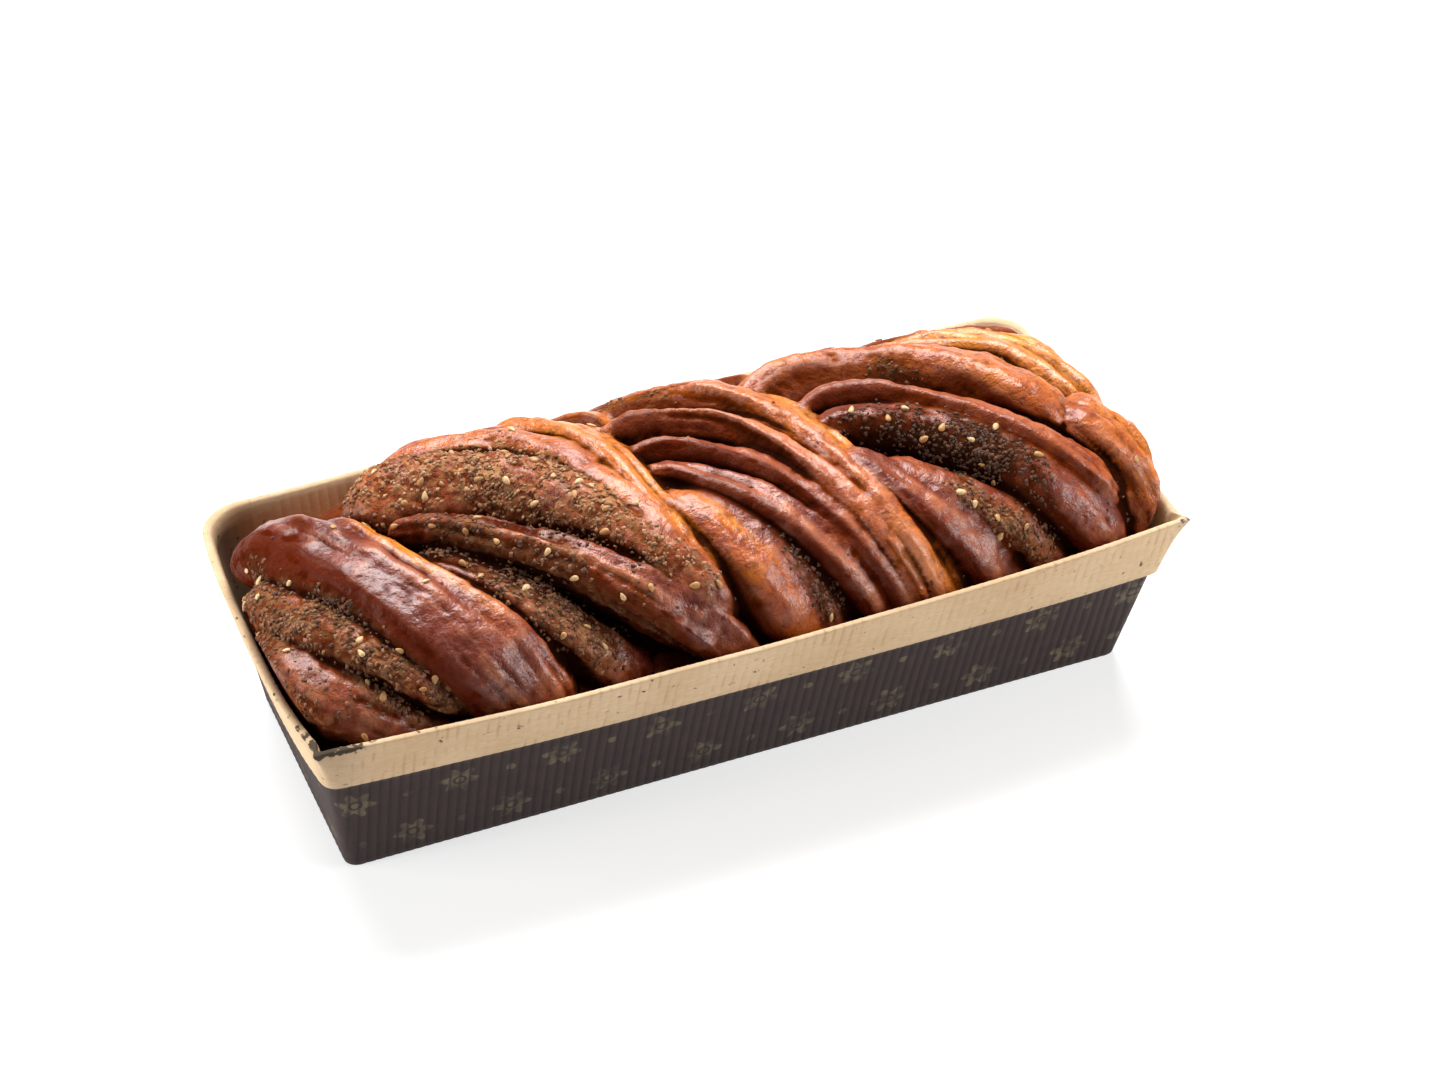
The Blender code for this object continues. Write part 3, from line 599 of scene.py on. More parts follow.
def makeLoaf(material):
    form = reliefForm
    rays = loafRays()
    strands = list(allRidges())
    lines = [ridgeLine(ridge) for ridge in strands]
    heights, nearest = ridgeHeights(rays, strands, lines)
    best = heights.argmax(axis=0)
    layers = np.concatenate((heights, coreHeight(rays)[None]))
    top = layers.max(axis=0)
    softness = loafForm["softness"]
    height = top + softness * np.log(np.exp((layers - top) / softness).sum(axis=0))
    points = rays["origin"] + rays["way"] * height[..., None]

    points = mix(points, blur(points, 1), form["smoothing"])
    normals = gridNormals(points)
    looks = loafLooks(points, lines, strands, best, nearest)
    along, around = looks["along"], looks["around"]

    # A valley is how far a point lies under the surface blurred around it
    valley = ((blur(points, form["valleyReach"]) - points) * normals).sum(-1) / form["valleyDepth"]
    deep = ((blur(points, form["deepReach"]) - points) * normals).sum(-1) / form["deepDepth"]
    # Crease sets painted shade: the material darkens the crust in valleys and deep creases and takes its
    # gloss there
    crease = form["valleyShare"] * np.maximum(valley, 0) + form["deepShare"] * np.maximum(deep, 0)
    crease = np.clip(crease, 0, 1)
    patches = noiseAt(points, form["patchSize"], 5, 3)
    inCreases = form["creaseHerbs"] * crease * (patches > form["creaseHerbsFrom"])
    herb = np.clip(looks["herb"] * (1.0 + form["patchShare"] * patches) + inCreases, 0, 1)

    # Relief in mm: broad lumps, wrinkles along the strands, granules under the herbs and fine blisters
    wrinkles = noise(along / form["wrinkleLength"], around / form["wrinkleWidth"], 0 * along, 21)
    relief = (form["lump"] * noiseAt(points, form["lumpSize"], 11, 3)
              + looks["ribs"] * wrinkles
              + herb * form["granule"] * noiseAt(points, form["granuleSize"], 31, 2)
              + form["blister"] * looks["rough"] * noiseAt(points, form["blisterSize"], 41, 2))
    points = points + normals * relief[..., None]
    # Fine bumps of the relief get a painted highlight (crest, with the painted crest lines), fine furrows
    # more painted shade (crease)
    fine = (relief - blur(relief, form["fineReach"])) / form["fineDepth"]
    crest = np.clip(form["finePale"] * np.clip(fine, 0, 1) + looks["paintedCrestLine"], 0, 1) * (1 - crease)
    crease = np.clip(crease + form["fineDark"] * np.clip(-fine - form["fineDarkFrom"], 0, 1), 0, 1)
    points = pressIn(points, loafForm["caseGap"])

    columns, rows = best.shape
    faces = ringFaces(columns, rows)[:, ::-1].tolist()
    for end in (0, columns - 1):                        # one face closes each end
        ring = list(range(end * rows, (end + 1) * rows))
        faces.append(ring if end == 0 else ring[::-1])
    # crease (in crustMask), under and crest (in crustShade) carry painted shade and painted highlights to the
    # crust material
    attributes = {"crustMask": np.stack((crease, herb, looks["flank"]), -1),
                  "crustPlace": np.stack((along / 100, around / 10, looks["tone"]), -1),
                  "crustShade": np.stack((looks["herbTone"], looks["under"], crest), -1)}
    obj = makePiece("crust_loaf", points.reshape(-1, 3), faces, [material], attributes)
    return obj, {"points": points, "normals": gridNormals(points), "herb": herb, "crease": crease,
                 "herbTone": looks["herbTone"]}


# Materials of the loaf

def newMaterial(name):
    material = bpy.data.materials.new(name)
    material.use_nodes = True
    tree = material.node_tree
    return material, tree, tree.nodes["Principled BSDF"]


# Sizes in mm. A coat is its colour, where its field starts and ends to show, and its strength. Of the coats,
# one is a painted highlight on crests, one painted shade on each strand's front left side (partly dark
# filling smeared there), and the darkest painted shade in creases
crustLook = {
    "tones": ((0.0, "4a1406"), (0.3, "762807"), (0.5, "9c440c"), (0.75, "c66c18"), (1.0, "e69a38")),
    "crumbs": ((0.0, "5a2e1c"), (0.3, "8a5236"), (0.6, "a87450"), (0.85, "bd9266"), (1.0, "7a603c")),
    "stretched": ("cf7a1c", 0.4, 1.0, 1.0), "speckle": ("5e2013", 0.48, 0.64, 0.6),
    "paintedHighlight": ("c87c54", 0.1, 0.9, 0.6), "paintedShadeAndSmear": ("4e1a09", 0.04, 0.3, 0.9),
    "cover": ("2c1a0e", 0.12, 0.36, 0.85), "hollow": ("240d06", 0.08, 0.5, 0.97),
    "streakLength": 4.5, "streakWidth": 2.0, "mottle": 2.4, "patch": 14.0, "crumb": 1.3, "grain": 1.1,
    "streakShare": 0.8, "patchShare": 1.2, "coat": 0.75, "coatRoughness": 0.2, "specular": 0.25,
}


def eggWashedCrust():
    # Egg-washed yeast dough, baked dark: a glossy red-brown skin, orange where it stretched, dull under herbs
    look = crustLook
    material, tree, shader = newMaterial("egg_washed_crust")
    where = put(tree, "TexCoord", {}, "Object")
    mask, place, shades = (put(tree, "Attribute", {}, "Vector", attribute_name=name)
                           for name in ("crustMask", "crustPlace", "crustShade"))
    crease, herb, flank = put(tree, "SeparateXYZ", {"Vector": mask})
    tone = put(tree, "SeparateXYZ", {"Vector": place}, "Z")
    herbTone, under, crest = put(tree, "SeparateXYZ", {"Vector": shades})
    streakScale = (100 / look["streakLength"], 10 / look["streakWidth"], 0.0)
    streakPlace = put(tree, "Mapping", {"Vector": place, "Scale": streakScale}, "Vector")
    streaks = put(tree, "TexNoise", {"Vector": streakPlace, "Scale": 1.0, "Detail": 3.0,
                                     "Roughness": 0.6}, "Fac")
    mottle = put(tree, "TexNoise", {"Vector": where, "Scale": 1000 / look["mottle"], "Detail": 4.0,
                                    "Roughness": 0.65}, "Fac")
    broad = put(tree, "TexNoise", {"Vector": where, "Scale": 1000 / look["patch"], "Detail": 2.0}, "Fac")

    # Tone runs from dark red-brown to orange-brown, moved up and down by streaks and broad patches
    shade = tone
    for field, share in ((streaks, look["streakShare"]), (broad, look["patchShare"])):
        drift = put(tree, "Math", {0: field, 1: share, 2: -share / 2}, 0, operation="MULTIPLY_ADD")
        shade = put(tree, "Math", {0: shade, 1: drift}, 0, operation="ADD")
    shade = put(tree, "MapRange", {"Value": shade, "From Min": -1.0, "From Max": 1.0}, "Result")
    colour = put(tree, "ValToRGB", {"Fac": shade}, "Color", look["tones"])

    # Ground herbs and crumbs stuck to the crust, from near black to tan
    crumbs = put(tree, "TexVoronoi", {"Vector": where, "Scale": 1000 / look["crumb"],
                                      "Randomness": 1.0}, "Color")
    crumbPick = put(tree, "SeparateColor", {"Color": crumbs}, "Red")
    crumbTone = put(tree, "ValToRGB", {"Fac": crumbPick}, "Color", look["crumbs"])
    crumbColour = put(tree, "Mix", {0: herbTone, 6: hexToLinear(look["cover"][0]), 7: crumbTone}, 2,
                      data_type="RGBA")

    # Coats over it: stretched orange flanks, dark speckles, a painted highlight on crests, painted shade on
    # the front left side of each strand, partly dark filling smeared there, the herbs, and painted shade that
    # makes creases nearly black
    patchy = put(tree, "Math", {0: streaks, 1: broad}, 0, operation="ADD")
    fields = {"speckle": mottle, "paintedHighlight": crest, "hollow": crease}
    for name, first, second in (("stretched", flank, patchy), ("paintedShadeAndSmear", under, broad),
                                ("cover", herb, mottle)):
        fields[name] = put(tree, "Math", {0: first, 1: second}, 0, operation="MULTIPLY")
    shares = {}
    for name in ("stretched", "speckle", "paintedHighlight", "paintedShadeAndSmear", "cover", "hollow"):
        code, start, end, strength = look[name]
        shares[name] = put(tree, "MapRange", {"Value": fields[name], "From Min": start, "From Max": end,
                                              "To Max": strength}, "Result")
        coat = crumbColour if name == "cover" else hexToLinear(code)
        colour = put(tree, "Mix", {0: shares[name], 6: colour, 7: coat}, 2, data_type="RGBA")
    tree.links.new(colour, shader.inputs["Base Color"])

    # Rougher and without gloss under herbs and in creases
    rough = put(tree, "Math", {0: shares["cover"], 1: 0.3, 2: 0.4}, 0, operation="MULTIPLY_ADD")
    rough = put(tree, "Math", {0: mottle, 1: 0.25, 2: rough}, 0, operation="MULTIPLY_ADD")
    tree.links.new(rough, shader.inputs["Roughness"])
    dull = put(tree, "Math", {0: shares["cover"], 1: 0.8, 2: shares["hollow"]}, 0, operation="MULTIPLY_ADD")
    dull = put(tree, "Math", {0: shares["paintedShadeAndSmear"], 1: 0.6, 2: dull}, 0, operation="MULTIPLY_ADD")
    for socket, most in (("Coat Weight", look["coat"]), ("Specular IOR Level", look["specular"])):
        gloss = put(tree, "MapRange", {"Value": dull, "From Max": 0.6, "To Min": most,
                                       "To Max": 0.0}, "Result")
        tree.links.new(gloss, shader.inputs[socket])
    shader.inputs["Coat Roughness"].default_value = look["coatRoughness"]

    grain = put(tree, "TexNoise", {"Vector": where, "Scale": 1000 / look["grain"], "Detail": 3.0}, "Fac")
    bump = put(tree, "Bump", {"Height": grain, "Strength": 0.3, "Distance": 0.4 * mm}, "Normal")
    for field, strength, height in ((mottle, 0.8, 1.4), (streaks, 0.3, 0.9)):
        bump = put(tree, "Bump", {"Height": field, "Strength": strength, "Distance": height * mm,
                                  "Normal": bump}, "Normal")
    tree.links.new(bump, shader.inputs["Normal"])
    skin = put(tree, "Bump", {"Height": mottle, "Strength": 0.4, "Distance": 1.2 * mm}, "Normal")
    tree.links.new(skin, shader.inputs["Coat Normal"])
    return material


def dryPieces(name, look):
    # Small dry pieces whose colour is drawn for each piece, with a fine darker grain over it and no gloss
    material, tree, shader = newMaterial(name)
    stored = put(tree, "Attribute", {}, "Vector", attribute_name="pieceShade")
    pick = put(tree, "SeparateXYZ", {"Vector": stored}, "X")
    colour = put(tree, "ValToRGB", {"Fac": pick}, "Color", look["colours"])
    where = put(tree, "TexCoord", {}, "Object")
    grain = put(tree, "TexNoise", {"Vector": where, "Scale": 1000 / look["grain"], "Detail": 2.0}, "Fac")
    dark = put(tree, "MapRange", {"Value": grain, "From Min": 0.35, "From Max": 0.65, "To Min": 0.3,
                                  "To Max": 0.0}, "Result")
    colour = put(tree, "Mix", {0: dark, 6: colour, 7: hexToLinear(look["dark"])}, 2, data_type="RGBA")
    tree.links.new(colour, shader.inputs["Base Color"])
    shader.inputs["Roughness"].default_value = look["roughness"]
    bump = put(tree, "Bump", {"Height": grain, "Strength": 0.3, "Distance": 0.2 * mm}, "Normal")
    tree.links.new(bump, shader.inputs["Normal"])
    return material


# Scattered seeds and herbs

seedForm = {"count": 85, "length": 2.5, "width": 1.55, "thickness": 0.9, "sunk": 0.22, "uneven": 0.2,
            "seed": 7, "spacing": 3.2, "stray": 0.004, "herbFrom": 0.15, "herbMost": 0.4, "creaseLoss": 0.8}
flakeForm = {"count": 4000, "length": 1.3, "width": 1.05, "thickness": 0.65, "sunk": 0.45, "uneven": 0.55,
             "seed": 19, "spacing": 0.0, "stray": 0.001, "herbFrom": 0.3, "herbMost": 1.0, "creaseLoss": 0.0}
scatterForm = {"lowest": 50.0, "steepest": -0.1, "tilt": 0.22, "jitter": 0.2, "spareDraws": 3, "taper": 0.35,
               "shadeFromHerbs": 0.4, "shadeSpread": 0.35, "shadeSpreadMore": 0.25}
seedLook = {"colours": ((0.0, "a5723e"), (0.5, "c3935c"), (1.0, "dab684")), "dark": "5a3818",
            "roughness": 0.5, "grain": 0.8}
flakeLook = {"colours": ((0.0, "2a160c"), (0.25, "4e2c18"), (0.5, "7d5032"), (0.75, "a27652"),
                         (1.0, "bd9670")), "dark": "5a3818", "roughness": 0.85, "grain": 0.5}


def seedShape(form):
    # A drop: rings of a sphere stretched to the seed's length, the width falling towards one end
    rings, sides = 5, 6
    polar = np.linspace(0, math.pi, rings + 2)[1:-1, None]
    turn = np.linspace(0, 2 * math.pi, sides, endpoint=False)[None, :]
    along = np.cos(polar) + 0 * turn
    width = np.sin(polar) * (1 - scatterForm["taper"] * along)
    body = np.stack((along * form["length"], width * np.cos(turn) * form["width"],
                     width * np.sin(turn) * form["thickness"]), -1).reshape(-1, 3) / 2
    tips = np.array(((form["length"] / 2, 0, 0), (-form["length"] / 2, 0, 0)))
    points = np.concatenate((body, tips))
    faces = [list(face[::-1]) for face in ringFaces(rings, sides)]
    last = (rings - 1) * sides
    for side in range(sides):
        beside = (side + 1) % sides
        faces.append([side, beside, rings * sides])
        faces.append([last + beside, last + side, rings * sides + 1])
    return points, faces


def flakeShape(form):
    # A flattened double pyramid with a skewed outline, like a torn bit of leaf
    points = np.array(((0.5, 0.1, 0), (0.05, 0.5, 0.1), (-0.5, -0.1, 0), (-0.1, -0.5, -0.1), (0, 0, 0.5),
                       (0, 0, -0.5)))
    points = points * (form["length"], form["width"], form["thickness"])
    faces = [[0, 1, 4], [1, 2, 4], [2, 3, 4], [3, 0, 4], [1, 0, 5], [2, 1, 5], [3, 2, 5], [0, 3, 5]]
    return points, faces


def choosePlaces(surface, form, chance):
    # Random grid points above the case, drawn by weight: a few anywhere, most where the herbs are, fewer in
    # creases. Where a spacing is given they are kept that far apart
    above = ((surface["points"][..., 2] > scatterForm["lowest"])
             * (surface["normals"][..., 2] > scatterForm["steepest"]))
    herbs = form["stray"] + np.clip(surface["herb"] - form["herbFrom"], 0, form["herbMost"])
    weight = above * herbs * (1 - form["creaseLoss"] * surface["crease"])
    picks = chance.choice(weight.size, size=form["count"] * scatterForm["spareDraws"],
                          p=weight.ravel() / weight.sum())
    spots = surface["points"].reshape(-1, 3)[picks] + chance.normal(0, scatterForm["jitter"], (len(picks), 3))
    if not form["spacing"]:
        return picks[:form["count"]]
    kept = []
    for number, spot in enumerate(spots):
        if len(kept) == form["count"]:
            break
        if not kept or np.linalg.norm(spots[kept] - spot, axis=1).min() > form["spacing"]:
            kept.append(number)
    return picks[kept]


def scatter(name, surface, form, shape, material):
    # Copies of one small shape, laid on the crust at the chosen points and turned at random about its normal
    chance = np.random.default_rng(form["seed"])
    picks = choosePlaces(surface, form, chance)
    spot = surface["points"].reshape(-1, 3)[picks]
    tilt = chance.normal(0, scatterForm["tilt"], (len(picks), 3))
    up = unit(surface["normals"].reshape(-1, 3)[picks] + tilt)
    spin = chance.normal(0, 1, (len(picks), 3))
    first = unit(spin - up * (spin * up).sum(-1, keepdims=True))
    second = np.cross(up, first)
    size = chance.uniform(1 - form["uneven"], 1 + form["uneven"], (len(picks), 1, 1))
    points, faces = shape(form)
    placed = (points[None, :, :1] * first[:, None] + points[None, :, 1:2] * second[:, None]
              + points[None, :, 2:] * up[:, None]) * size
    placed = placed + (spot + up * form["thickness"] * (0.5 - form["sunk"]))[:, None]
    allFaces = [[v + k * len(points) for v in face] for k in range(len(picks)) for face in faces]
    light = surface["herbTone"].ravel()[picks]
    spread = scatterForm["shadeSpread"] + scatterForm["shadeSpreadMore"] * light
    drawn = scatterForm["shadeFromHerbs"] * light + chance.uniform(0, 1, len(picks)) * spread
    shade = np.repeat(drawn if form is flakeForm else chance.uniform(0, 1, len(picks)), len(points))
    stored = {"pieceShade": np.stack((shade,) * 3, -1)}
    return makePiece(name, placed.reshape(-1, 3), allFaces, [material], stored)


# Paper case with its flutes, rim and print

paperForm = {
    "flute": 2.6, "stepsPerFlute": 8, "cornerSteps": 20, "wallRelief": 0.34, "foldRelief": 0.1,
    "insideRelief": 0.16, "foldLeft": 37.5, "foldRight": 33.6, "foldStep": 1.3, "foldInner": -1.0,
    "innerWall": -1.5, "edgeRadius": 0.5, "topDrop": 0.2, "baseInset": -0.4, "rimWave": 0.35,
    "rimWaveSize": 38.0, "dipSize": 30.0, "earHeight": 8,
    "burntCorner": (-116.0, -54.0, 10.0), "burntTip": (120.0, -54.0, 4.0), "scorch": 1.6, "darkInsideFrom": 53.0,
}
printForm = {"cellWide": 27.0, "cellHigh": 18.0, "flower": 4.3, "petal": 1.2, "petals": 6, "ring": 1.9,
             "centre": 0.6, "dot": 1.3, "rowTurn": 1.3}


def caseColumns():
    # Round the case from the front right corner: the two corners that a column lies between, its share and
    # its turn
    signs = np.array(((1, -1), (1, 1), (-1, 1), (-1, -1)), dtype=float)
    lengths = (2 * caseForm["rimHalfWidth"], 2 * caseForm["rimHalfLength"]) * 2
    arc = np.arange(paperForm["cornerSteps"] + 1) / paperForm["cornerSteps"]
    parts = []
    for number in range(4):
        atCorner = np.full(len(arc), number)
        parts.append((atCorner, atCorner, 0 * arc, 90 * (number - 1 + arc), np.sin(math.pi * arc)))
        steps = int(lengths[number] / paperForm["flute"] * paperForm["stepsPerFlute"])
        side = np.arange(1, steps) / steps
        onSide = np.full(steps - 1, number)
        parts.append((onSide, (onSide + 1) % 4, side, 90.0 * onSide, 0 * side))
    first, second, share, turn, inCorner = (np.concatenate(v) for v in zip(*parts))
    return {"from": signs[first], "to": signs[second], "share": share, "turn": np.radians(turn),
            "corner": inCorner}


def caseSurface(columns, height, offset):
    # A rounded rectangle at a height: corner centres, joined by straight sides, plus radius * (cos turn,
    # sin turn), with the ears of the front corners and the sides pushed out
    share = height / caseForm["height"]
    halfLength = mix(caseForm["baseHalfLength"], caseForm["rimHalfLength"], share) + offset
    halfWidth = mix(caseForm["baseHalfWidth"], caseForm["rimHalfWidth"], share) + offset

    def cornerCentre(sign):
        front = sign[:, 1] < 0
        atRim = np.where(front, caseForm["frontCorner"], caseForm["backCorner"])
        radius = mix(caseForm["baseCorner"], atRim, share)
        ear = np.where(front, caseForm["ear"] * share**paperForm["earHeight"] * columns["corner"] ** 3, 0.0)
        return sign[:, 0] * (halfLength - radius + ear), sign[:, 1] * (halfWidth - radius + ear / 2), radius

    startX, startY, startRadius = cornerCentre(columns["from"])
    endX, endY, endRadius = cornerCentre(columns["to"])
    radius = mix(startRadius, endRadius, columns["share"])
    x = mix(startX, endX, columns["share"]) + radius * np.cos(columns["turn"])
    y = mix(startY, endY, columns["share"]) + radius * np.sin(columns["turn"])
    onEnd = np.minimum(1, abs(x) / halfLength) ** 6
    onSide = np.minimum(1, abs(y) / halfWidth) ** 6
    outX = np.sign(x) * endBulge(y, share, x < 0) * onEnd
    outY = np.sign(y) * sideBulge(x, share, y < 0) * onSide
    return x + outX, y + outY


def caseRows(columns):
    # From the middle of the underside, up the outside, over the rim and down the inside: each row has a
    # height, an offset from the wall, a pull towards the middle, a flute relief and a kind (0 print, 1 kraft)
    form = paperForm
    place = (caseSurface(columns, 40.0, 0.0)[0] / caseForm["rimHalfLength"] + 1) / 2
    fold = mix(form["foldLeft"], form["foldRight"], place)
    step, edge, wall, faint = form["foldStep"], form["edgeRadius"], form["wallRelief"], form["foldRelief"]
    top = caseForm["height"] - form["topDrop"]
    rows = [(0.0, form["baseInset"], pull, 0.0, 1) for pull in (1.0, 0.5, 0.06, 0.0)]
    rows.append((0.4, 0.0, 0.0, 0.4 * wall, 0))
    for share in np.linspace(0.06, 1, 12):
        rows.append((fold * share, 0.0, 0.0, wall, 0))
    rows.append((fold + 0.05, 0.6 * step, 0.0, faint, 1))
    for share in np.linspace(0.02, 1, 8):
        rows.append((mix(fold, top - edge, share), step, 0.0, faint, 1))
    for turn in np.linspace(0.3, math.pi, 5):
        aside = mix(0.0, step, (1 + math.cos(turn)) / 2) - 0.35 * (1 - math.cos(turn))
        rows.append((top - edge + edge * math.sin(turn), aside, 0.0, faint, 1))
    for height in np.linspace(top - 2, 30.0, 8):
        rows.append((height, form["foldInner"], 0.0, form["insideRelief"], 1))
    for height in (14.0, caseForm["paper"]):
        rows.append((height, form["innerWall"], 0.0, 0.0, 1))
    for pull in (0.06, 0.5, 1.0):
        rows.append((caseForm["paper"], form["innerWall"], pull, 0.0, 1))
    return rows


def caseWear(x, y, height, offset):
    # Scorched spots at two front corners, the browned top edge near them, and the inside of the left end
    # darker below the rim
    burnt = sum(belt(np.hypot(x - spotX, y - spotY), 0, reach)
                for spotX, spotY, reach in (paperForm["burntCorner"], paperForm["burntTip"]))
    scorchFrom = caseForm["height"] - paperForm["scorch"]
    browned = smooth(scorchFrom, scorchFrom + 1, height)
    rim = browned * (smooth(-70, -110, x) + smooth(114, 119, x)) * (y < 0)
    darkInside = smooth(paperForm["darkInsideFrom"], paperForm["darkInsideFrom"] - 4, height) * smooth(-102, -114, x)
    return np.stack((burnt, rim, darkInside * (offset < 0)), -1)


def makeCase(materials):
    columns = caseColumns()
    turn, count = columns["turn"], len(columns["turn"])
    onLongSide = abs(np.sin(turn)) > 0.7
    ringX, ringY = caseSurface(columns, np.full(count, 30.0), 0.0)
    paperRun = np.concatenate(([0], np.cumsum(np.hypot(np.diff(ringX), np.diff(ringY)))))
    rowPoints, places, kinds, wear = [], [], [], []
    for height, offset, pull, relief, kind in caseRows(columns):
        height = height + np.zeros(count)
        x, y = caseSurface(columns, height, offset)
        run = np.where(onLongSide, x, y)
        crest = abs(np.sin(math.pi * run / paperForm["flute"])) ** 0.6
        wave = paperForm["rimWave"] * (height / caseForm["height"]) ** 3
        p = np.stack((x, y, height), -1)
        push = relief * (crest - 0.75) * (1 - columns["corner"])
        push = push + wave * (noiseAt(p, paperForm["rimWaveSize"], 3) - 0.6)
        x = x + np.cos(turn) * push
        y = y + np.sin(turn) * push
        dip = wave * 0.9 * (noiseAt(p, paperForm["dipSize"], 9) - 1) if kind else 0.0
        rowPoints.append(np.stack((x * (1 - pull), y * (1 - pull), height + dip), -1))
        places.append(np.stack((paperRun, height, crest), -1))
        wear.append(caseWear(x, y, height, offset))
        kinds.append(kind)
    slots = np.repeat(np.array(kinds)[1:], count).astype(np.int32)
    faces = ringFaces(len(rowPoints), count).tolist()
    attributes = {"paperPlace": np.array(places), "paperWear": np.array(wear)}
    return makePiece("case_paper", np.array(rowPoints).reshape(-1, 3), faces, materials, attributes, slots)


# Materials of the case, with sizes in mm

kraftLook = {
    "pulp": ("b59672", "d4bc9c"), "cloud": "a67f55", "line": "8a6640", "cast": "3c2618", "burn": "160c07",
    "fibreWidth": 2.9, "fibreHeight": 0.7, "cloudSize": 22.0, "breakSize": 7.5, "speckSize": 2.0,
    "roughness": 0.82,
}
printLook = {"paper": ("261b1b", "3a2a26"), "ink": "7a6e54", "valley": "1d1412", "wornSize": 5.0,
             "roughness": 0.65}


def bareKraft():
    # Uncoated kraft liner, the turned-down rim and the inside: dull tan pulp with long fibres and faint
    # flute lines painted as shade in the flute valleys
    look = kraftLook
    material, tree, shader = newMaterial("bare_kraft_paper")
    where = put(tree, "TexCoord", {}, "Object")
    place, stored = (put(tree, "Attribute", {}, "Vector", attribute_name=name)
                     for name in ("paperPlace", "paperWear"))
    crest = put(tree, "SeparateXYZ", {"Vector": place}, "Z")
    burnt, rim, darkInside = put(tree, "SeparateXYZ", {"Vector": stored})
    fibreScale = (1000 / look["fibreWidth"], 1000 / look["fibreWidth"], 1000 / look["fibreHeight"])
    fibrePlace = put(tree, "Mapping", {"Vector": where, "Scale": fibreScale}, "Vector")
    fibres = put(tree, "TexNoise", {"Vector": fibrePlace, "Scale": 1.0, "Detail": 3.0,
                                    "Roughness": 0.7}, "Fac")
    cloud, broken, specks = (put(tree, "TexNoise", {"Vector": where, "Scale": 1000 / look[size],
                                                    "Detail": 3.0}, "Fac")
                             for size in ("cloudSize", "breakSize", "speckSize"))
    cloud = put(tree, "MapRange", {"Value": cloud, "From Min": 0.35, "From Max": 0.7,
                                   "To Max": 0.35}, "Result")
    # Line: painted shade along the flute valleys
    line = put(tree, "MapRange", {"Value": crest, "From Min": 0.25, "From Max": 0.8, "To Min": 0.55,
                                  "To Max": 0.0}, "Result")
    broken = put(tree, "MapRange", {"Value": broken, "From Min": 0.48, "From Max": 0.75}, "Result")
    line = put(tree, "Math", {0: line, 1: broken}, 0, operation="MULTIPLY")

    # Baked dark near two corners: a brown cast, and specks where the noise is high. The cast also darkens the
    # inside of the left end below the rim
    cast = put(tree, "Math", {0: burnt, 1: 0.35}, 0, operation="MULTIPLY")
    cast = put(tree, "Math", {0: darkInside, 1: 0.9, 2: cast}, 0, operation="MULTIPLY_ADD")
    edge = put(tree, "Math", {0: burnt, 1: rim}, 0, operation="MULTIPLY")
    for field in (rim, darkInside):
        edge = put(tree, "Math", {0: field, 1: 0.12, 2: edge}, 0, operation="MULTIPLY_ADD")
    edge = put(tree, "Math", {0: edge, 1: 0.5, 2: specks}, 0, operation="MULTIPLY_ADD")
    burn = put(tree, "MapRange", {"Value": edge, "From Min": 0.68, "From Max": 0.76, "To Max": 0.9}, "Result")

    colour = hexToLinear(look["pulp"][0])
    for share, code in ((fibres, look["pulp"][1]), (cloud, look["cloud"]), (line, look["line"]),
                        (cast, look["cast"]), (burn, look["burn"])):
        colour = put(tree, "Mix", {0: share, 6: colour, 7: hexToLinear(code)}, 2, data_type="RGBA")
    tree.links.new(colour, shader.inputs["Base Color"])
    shader.inputs["Roughness"].default_value = look["roughness"]
    shader.inputs["Specular IOR Level"].default_value = 0.2
    bump = put(tree, "Bump", {"Height": fibres, "Strength": 0.25, "Distance": 0.3 * mm}, "Normal")
    tree.links.new(bump, shader.inputs["Normal"])
    return material


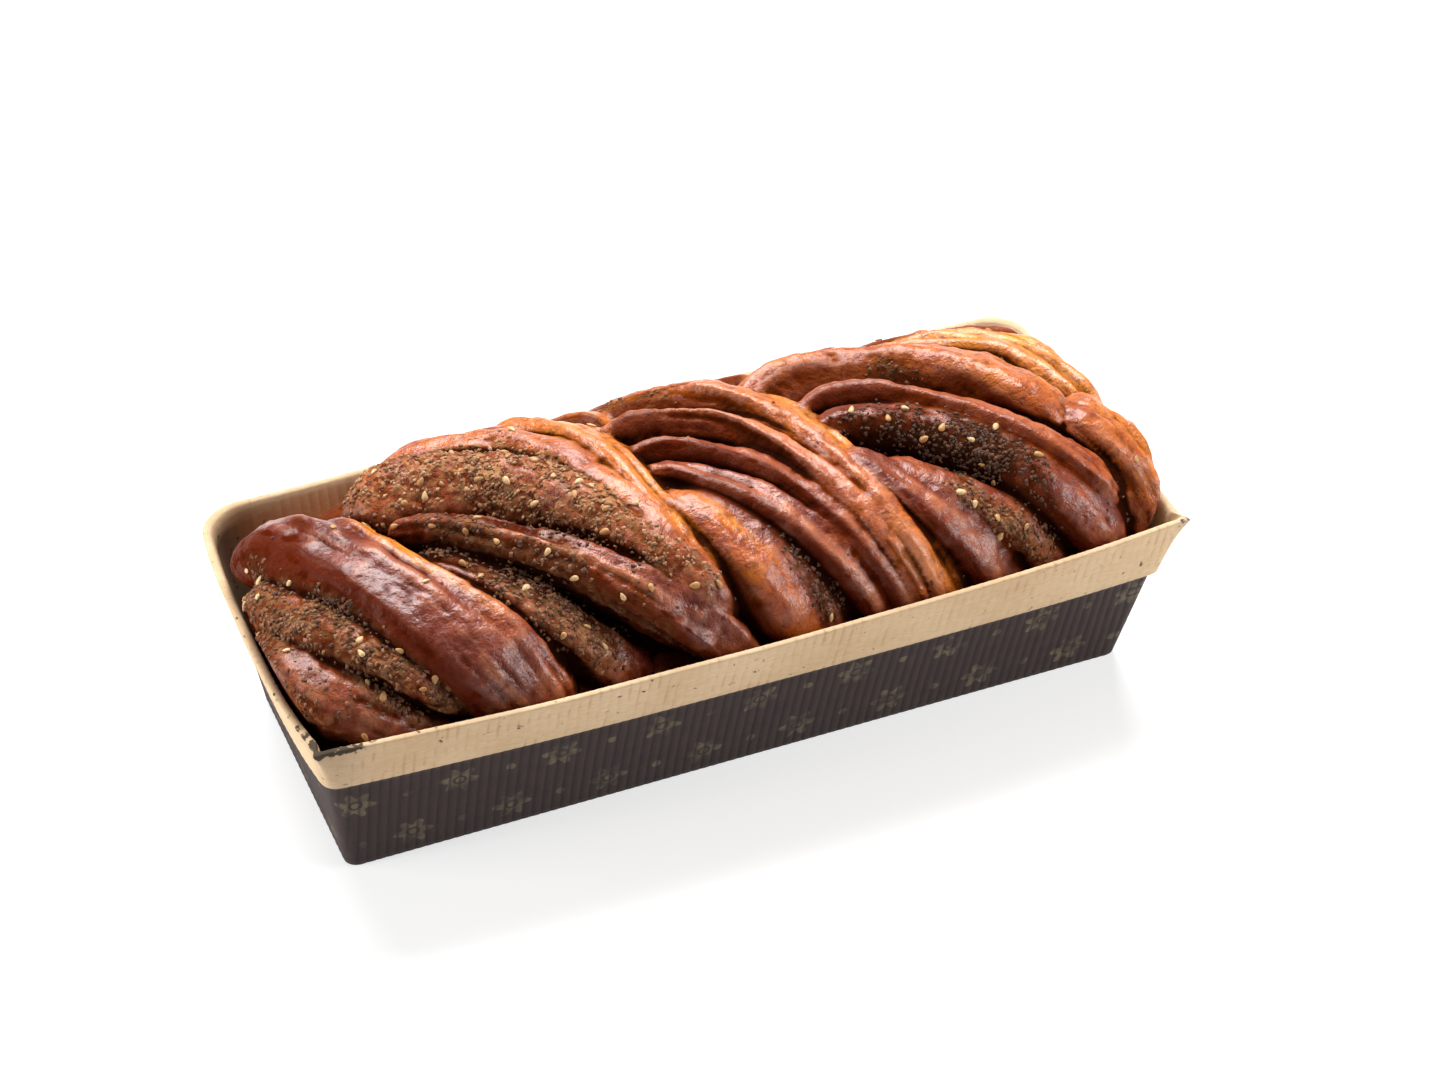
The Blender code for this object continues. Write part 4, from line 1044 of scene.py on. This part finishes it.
def printedKraft():
    # Kraft printed dark brown, with faint olive-grey rosettes and dots on a staggered grid, broken by wear
    # and by painted shade in the flute valleys
    form, look = printForm, printLook
    material, tree, shader = newMaterial("printed_kraft_paper")
    where = put(tree, "TexCoord", {}, "Object")
    place = put(tree, "Attribute", {}, "Vector", attribute_name="paperPlace")
    run, up, crest = put(tree, "SeparateXYZ", {"Vector": place})

    # Each step is a name, a sum and what goes in: numbers or the names of earlier steps. A rosette is where
    # the distance from its cell's middle is under flower + petal * cos(petals * angle)
    known = {"run": run, "up": up}
    steps = (
        ("rows", "DIVIDE", "up", form["cellHigh"]), ("row", "FLOOR", "rows"),
        ("shift", "MULTIPLY", "row", 0.5),
        ("columns", "DIVIDE", "run", form["cellWide"]), ("columns", "ADD", "columns", "shift"),
        ("across", "FRACT", "columns"), ("across", "SUBTRACT", "across", 0.5),
        ("across", "MULTIPLY", "across", form["cellWide"]), ("high", "FRACT", "rows"),
        ("high", "SUBTRACT", "high", 0.5), ("high", "MULTIPLY", "high", form["cellHigh"]),
        ("highSquare", "MULTIPLY", "high", "high"),
        ("square", "MULTIPLY_ADD", "across", "across", "highSquare"),
        ("radius", "SQRT", "square"), ("angle", "ARCTAN2", "high", "across"),
        ("turned", "MULTIPLY", "row", form["rowTurn"]),
        ("petals", "MULTIPLY_ADD", "angle", float(form["petals"]), "turned"), ("petals", "COSINE", "petals"),
        ("edge", "MULTIPLY_ADD", "petals", form["petal"], form["flower"]),
        ("inside", "LESS_THAN", "radius", "edge"),
        ("ring", "GREATER_THAN", "radius", form["ring"]), ("flower", "MULTIPLY", "inside", "ring"),
        ("centre", "LESS_THAN", "radius", form["centre"] * form["ring"]), ("toSide", "ABSOLUTE", "across"),
        ("toSide", "SUBTRACT", "toSide", 0.5 * form["cellWide"]),
        ("square", "MULTIPLY_ADD", "toSide", "toSide", "highSquare"), ("toDot", "SQRT", "square"),
        ("dot", "LESS_THAN", "toDot", form["dot"]), ("mark", "MAXIMUM", "flower", "centre"),
        ("mark", "MAXIMUM", "mark", "dot"),
    )
    for name, operation, *values in steps:
        inputs = {number: known[v] if isinstance(v, str) else v for number, v in enumerate(values)}
        known[name] = put(tree, "Math", inputs, 0, operation=operation)

    worn = put(tree, "TexNoise", {"Vector": where, "Scale": 1000 / look["wornSize"], "Detail": 2.0}, "Fac")
    left = put(tree, "MapRange", {"Value": worn, "From Min": 0.38, "From Max": 0.62, "To Min": 0.06,
                                  "To Max": 0.44}, "Result")
    ink = put(tree, "Math", {0: known["mark"], 1: left}, 0, operation="MULTIPLY")
    # Valley: painted shade darkening the flute valleys of the printed wall
    valley = put(tree, "MapRange", {"Value": crest, "From Min": 0.2, "From Max": 0.85, "To Min": 0.75,
                                    "To Max": 0.0}, "Result")
    colour = hexToLinear(look["paper"][0])
    for share, code in ((worn, look["paper"][1]), (ink, look["ink"]), (valley, look["valley"])):
        colour = put(tree, "Mix", {0: share, 6: colour, 7: hexToLinear(code)}, 2, data_type="RGBA")
    tree.links.new(colour, shader.inputs["Base Color"])
    shader.inputs["Roughness"].default_value = look["roughness"]
    shader.inputs["Specular IOR Level"].default_value = 0.2
    bump = put(tree, "Bump", {"Height": worn, "Strength": 0.2, "Distance": 0.3 * mm}, "Normal")
    tree.links.new(bump, shader.inputs["Normal"])
    return material


makeStage()
print("stage ready")

loaf, surface = makeLoaf(eggWashedCrust())
closeSeams(loaf)
print("loaf ready:", len(loaf.data.polygons), "faces")

seeds = scatter("sesame_seeds", surface, seedForm, seedShape, dryPieces("toasted_sesame", seedLook))
flakes = scatter("herb_flakes", surface, flakeForm, flakeShape, dryPieces("ground_dried_herbs", flakeLook))
print("seeds and herbs ready")

case = makeCase([printedKraft(), bareKraft()])
closeSeams(case)
print("case ready:", len(case.data.polygons), "faces")

for piece, node, slot in ((loaf, "babka", "crust"), (seeds, "babka", "crust"), (flakes, "babka", "crust"),
                          (case, "paper_case", "paper")):
    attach(piece, "root")
    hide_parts(node)
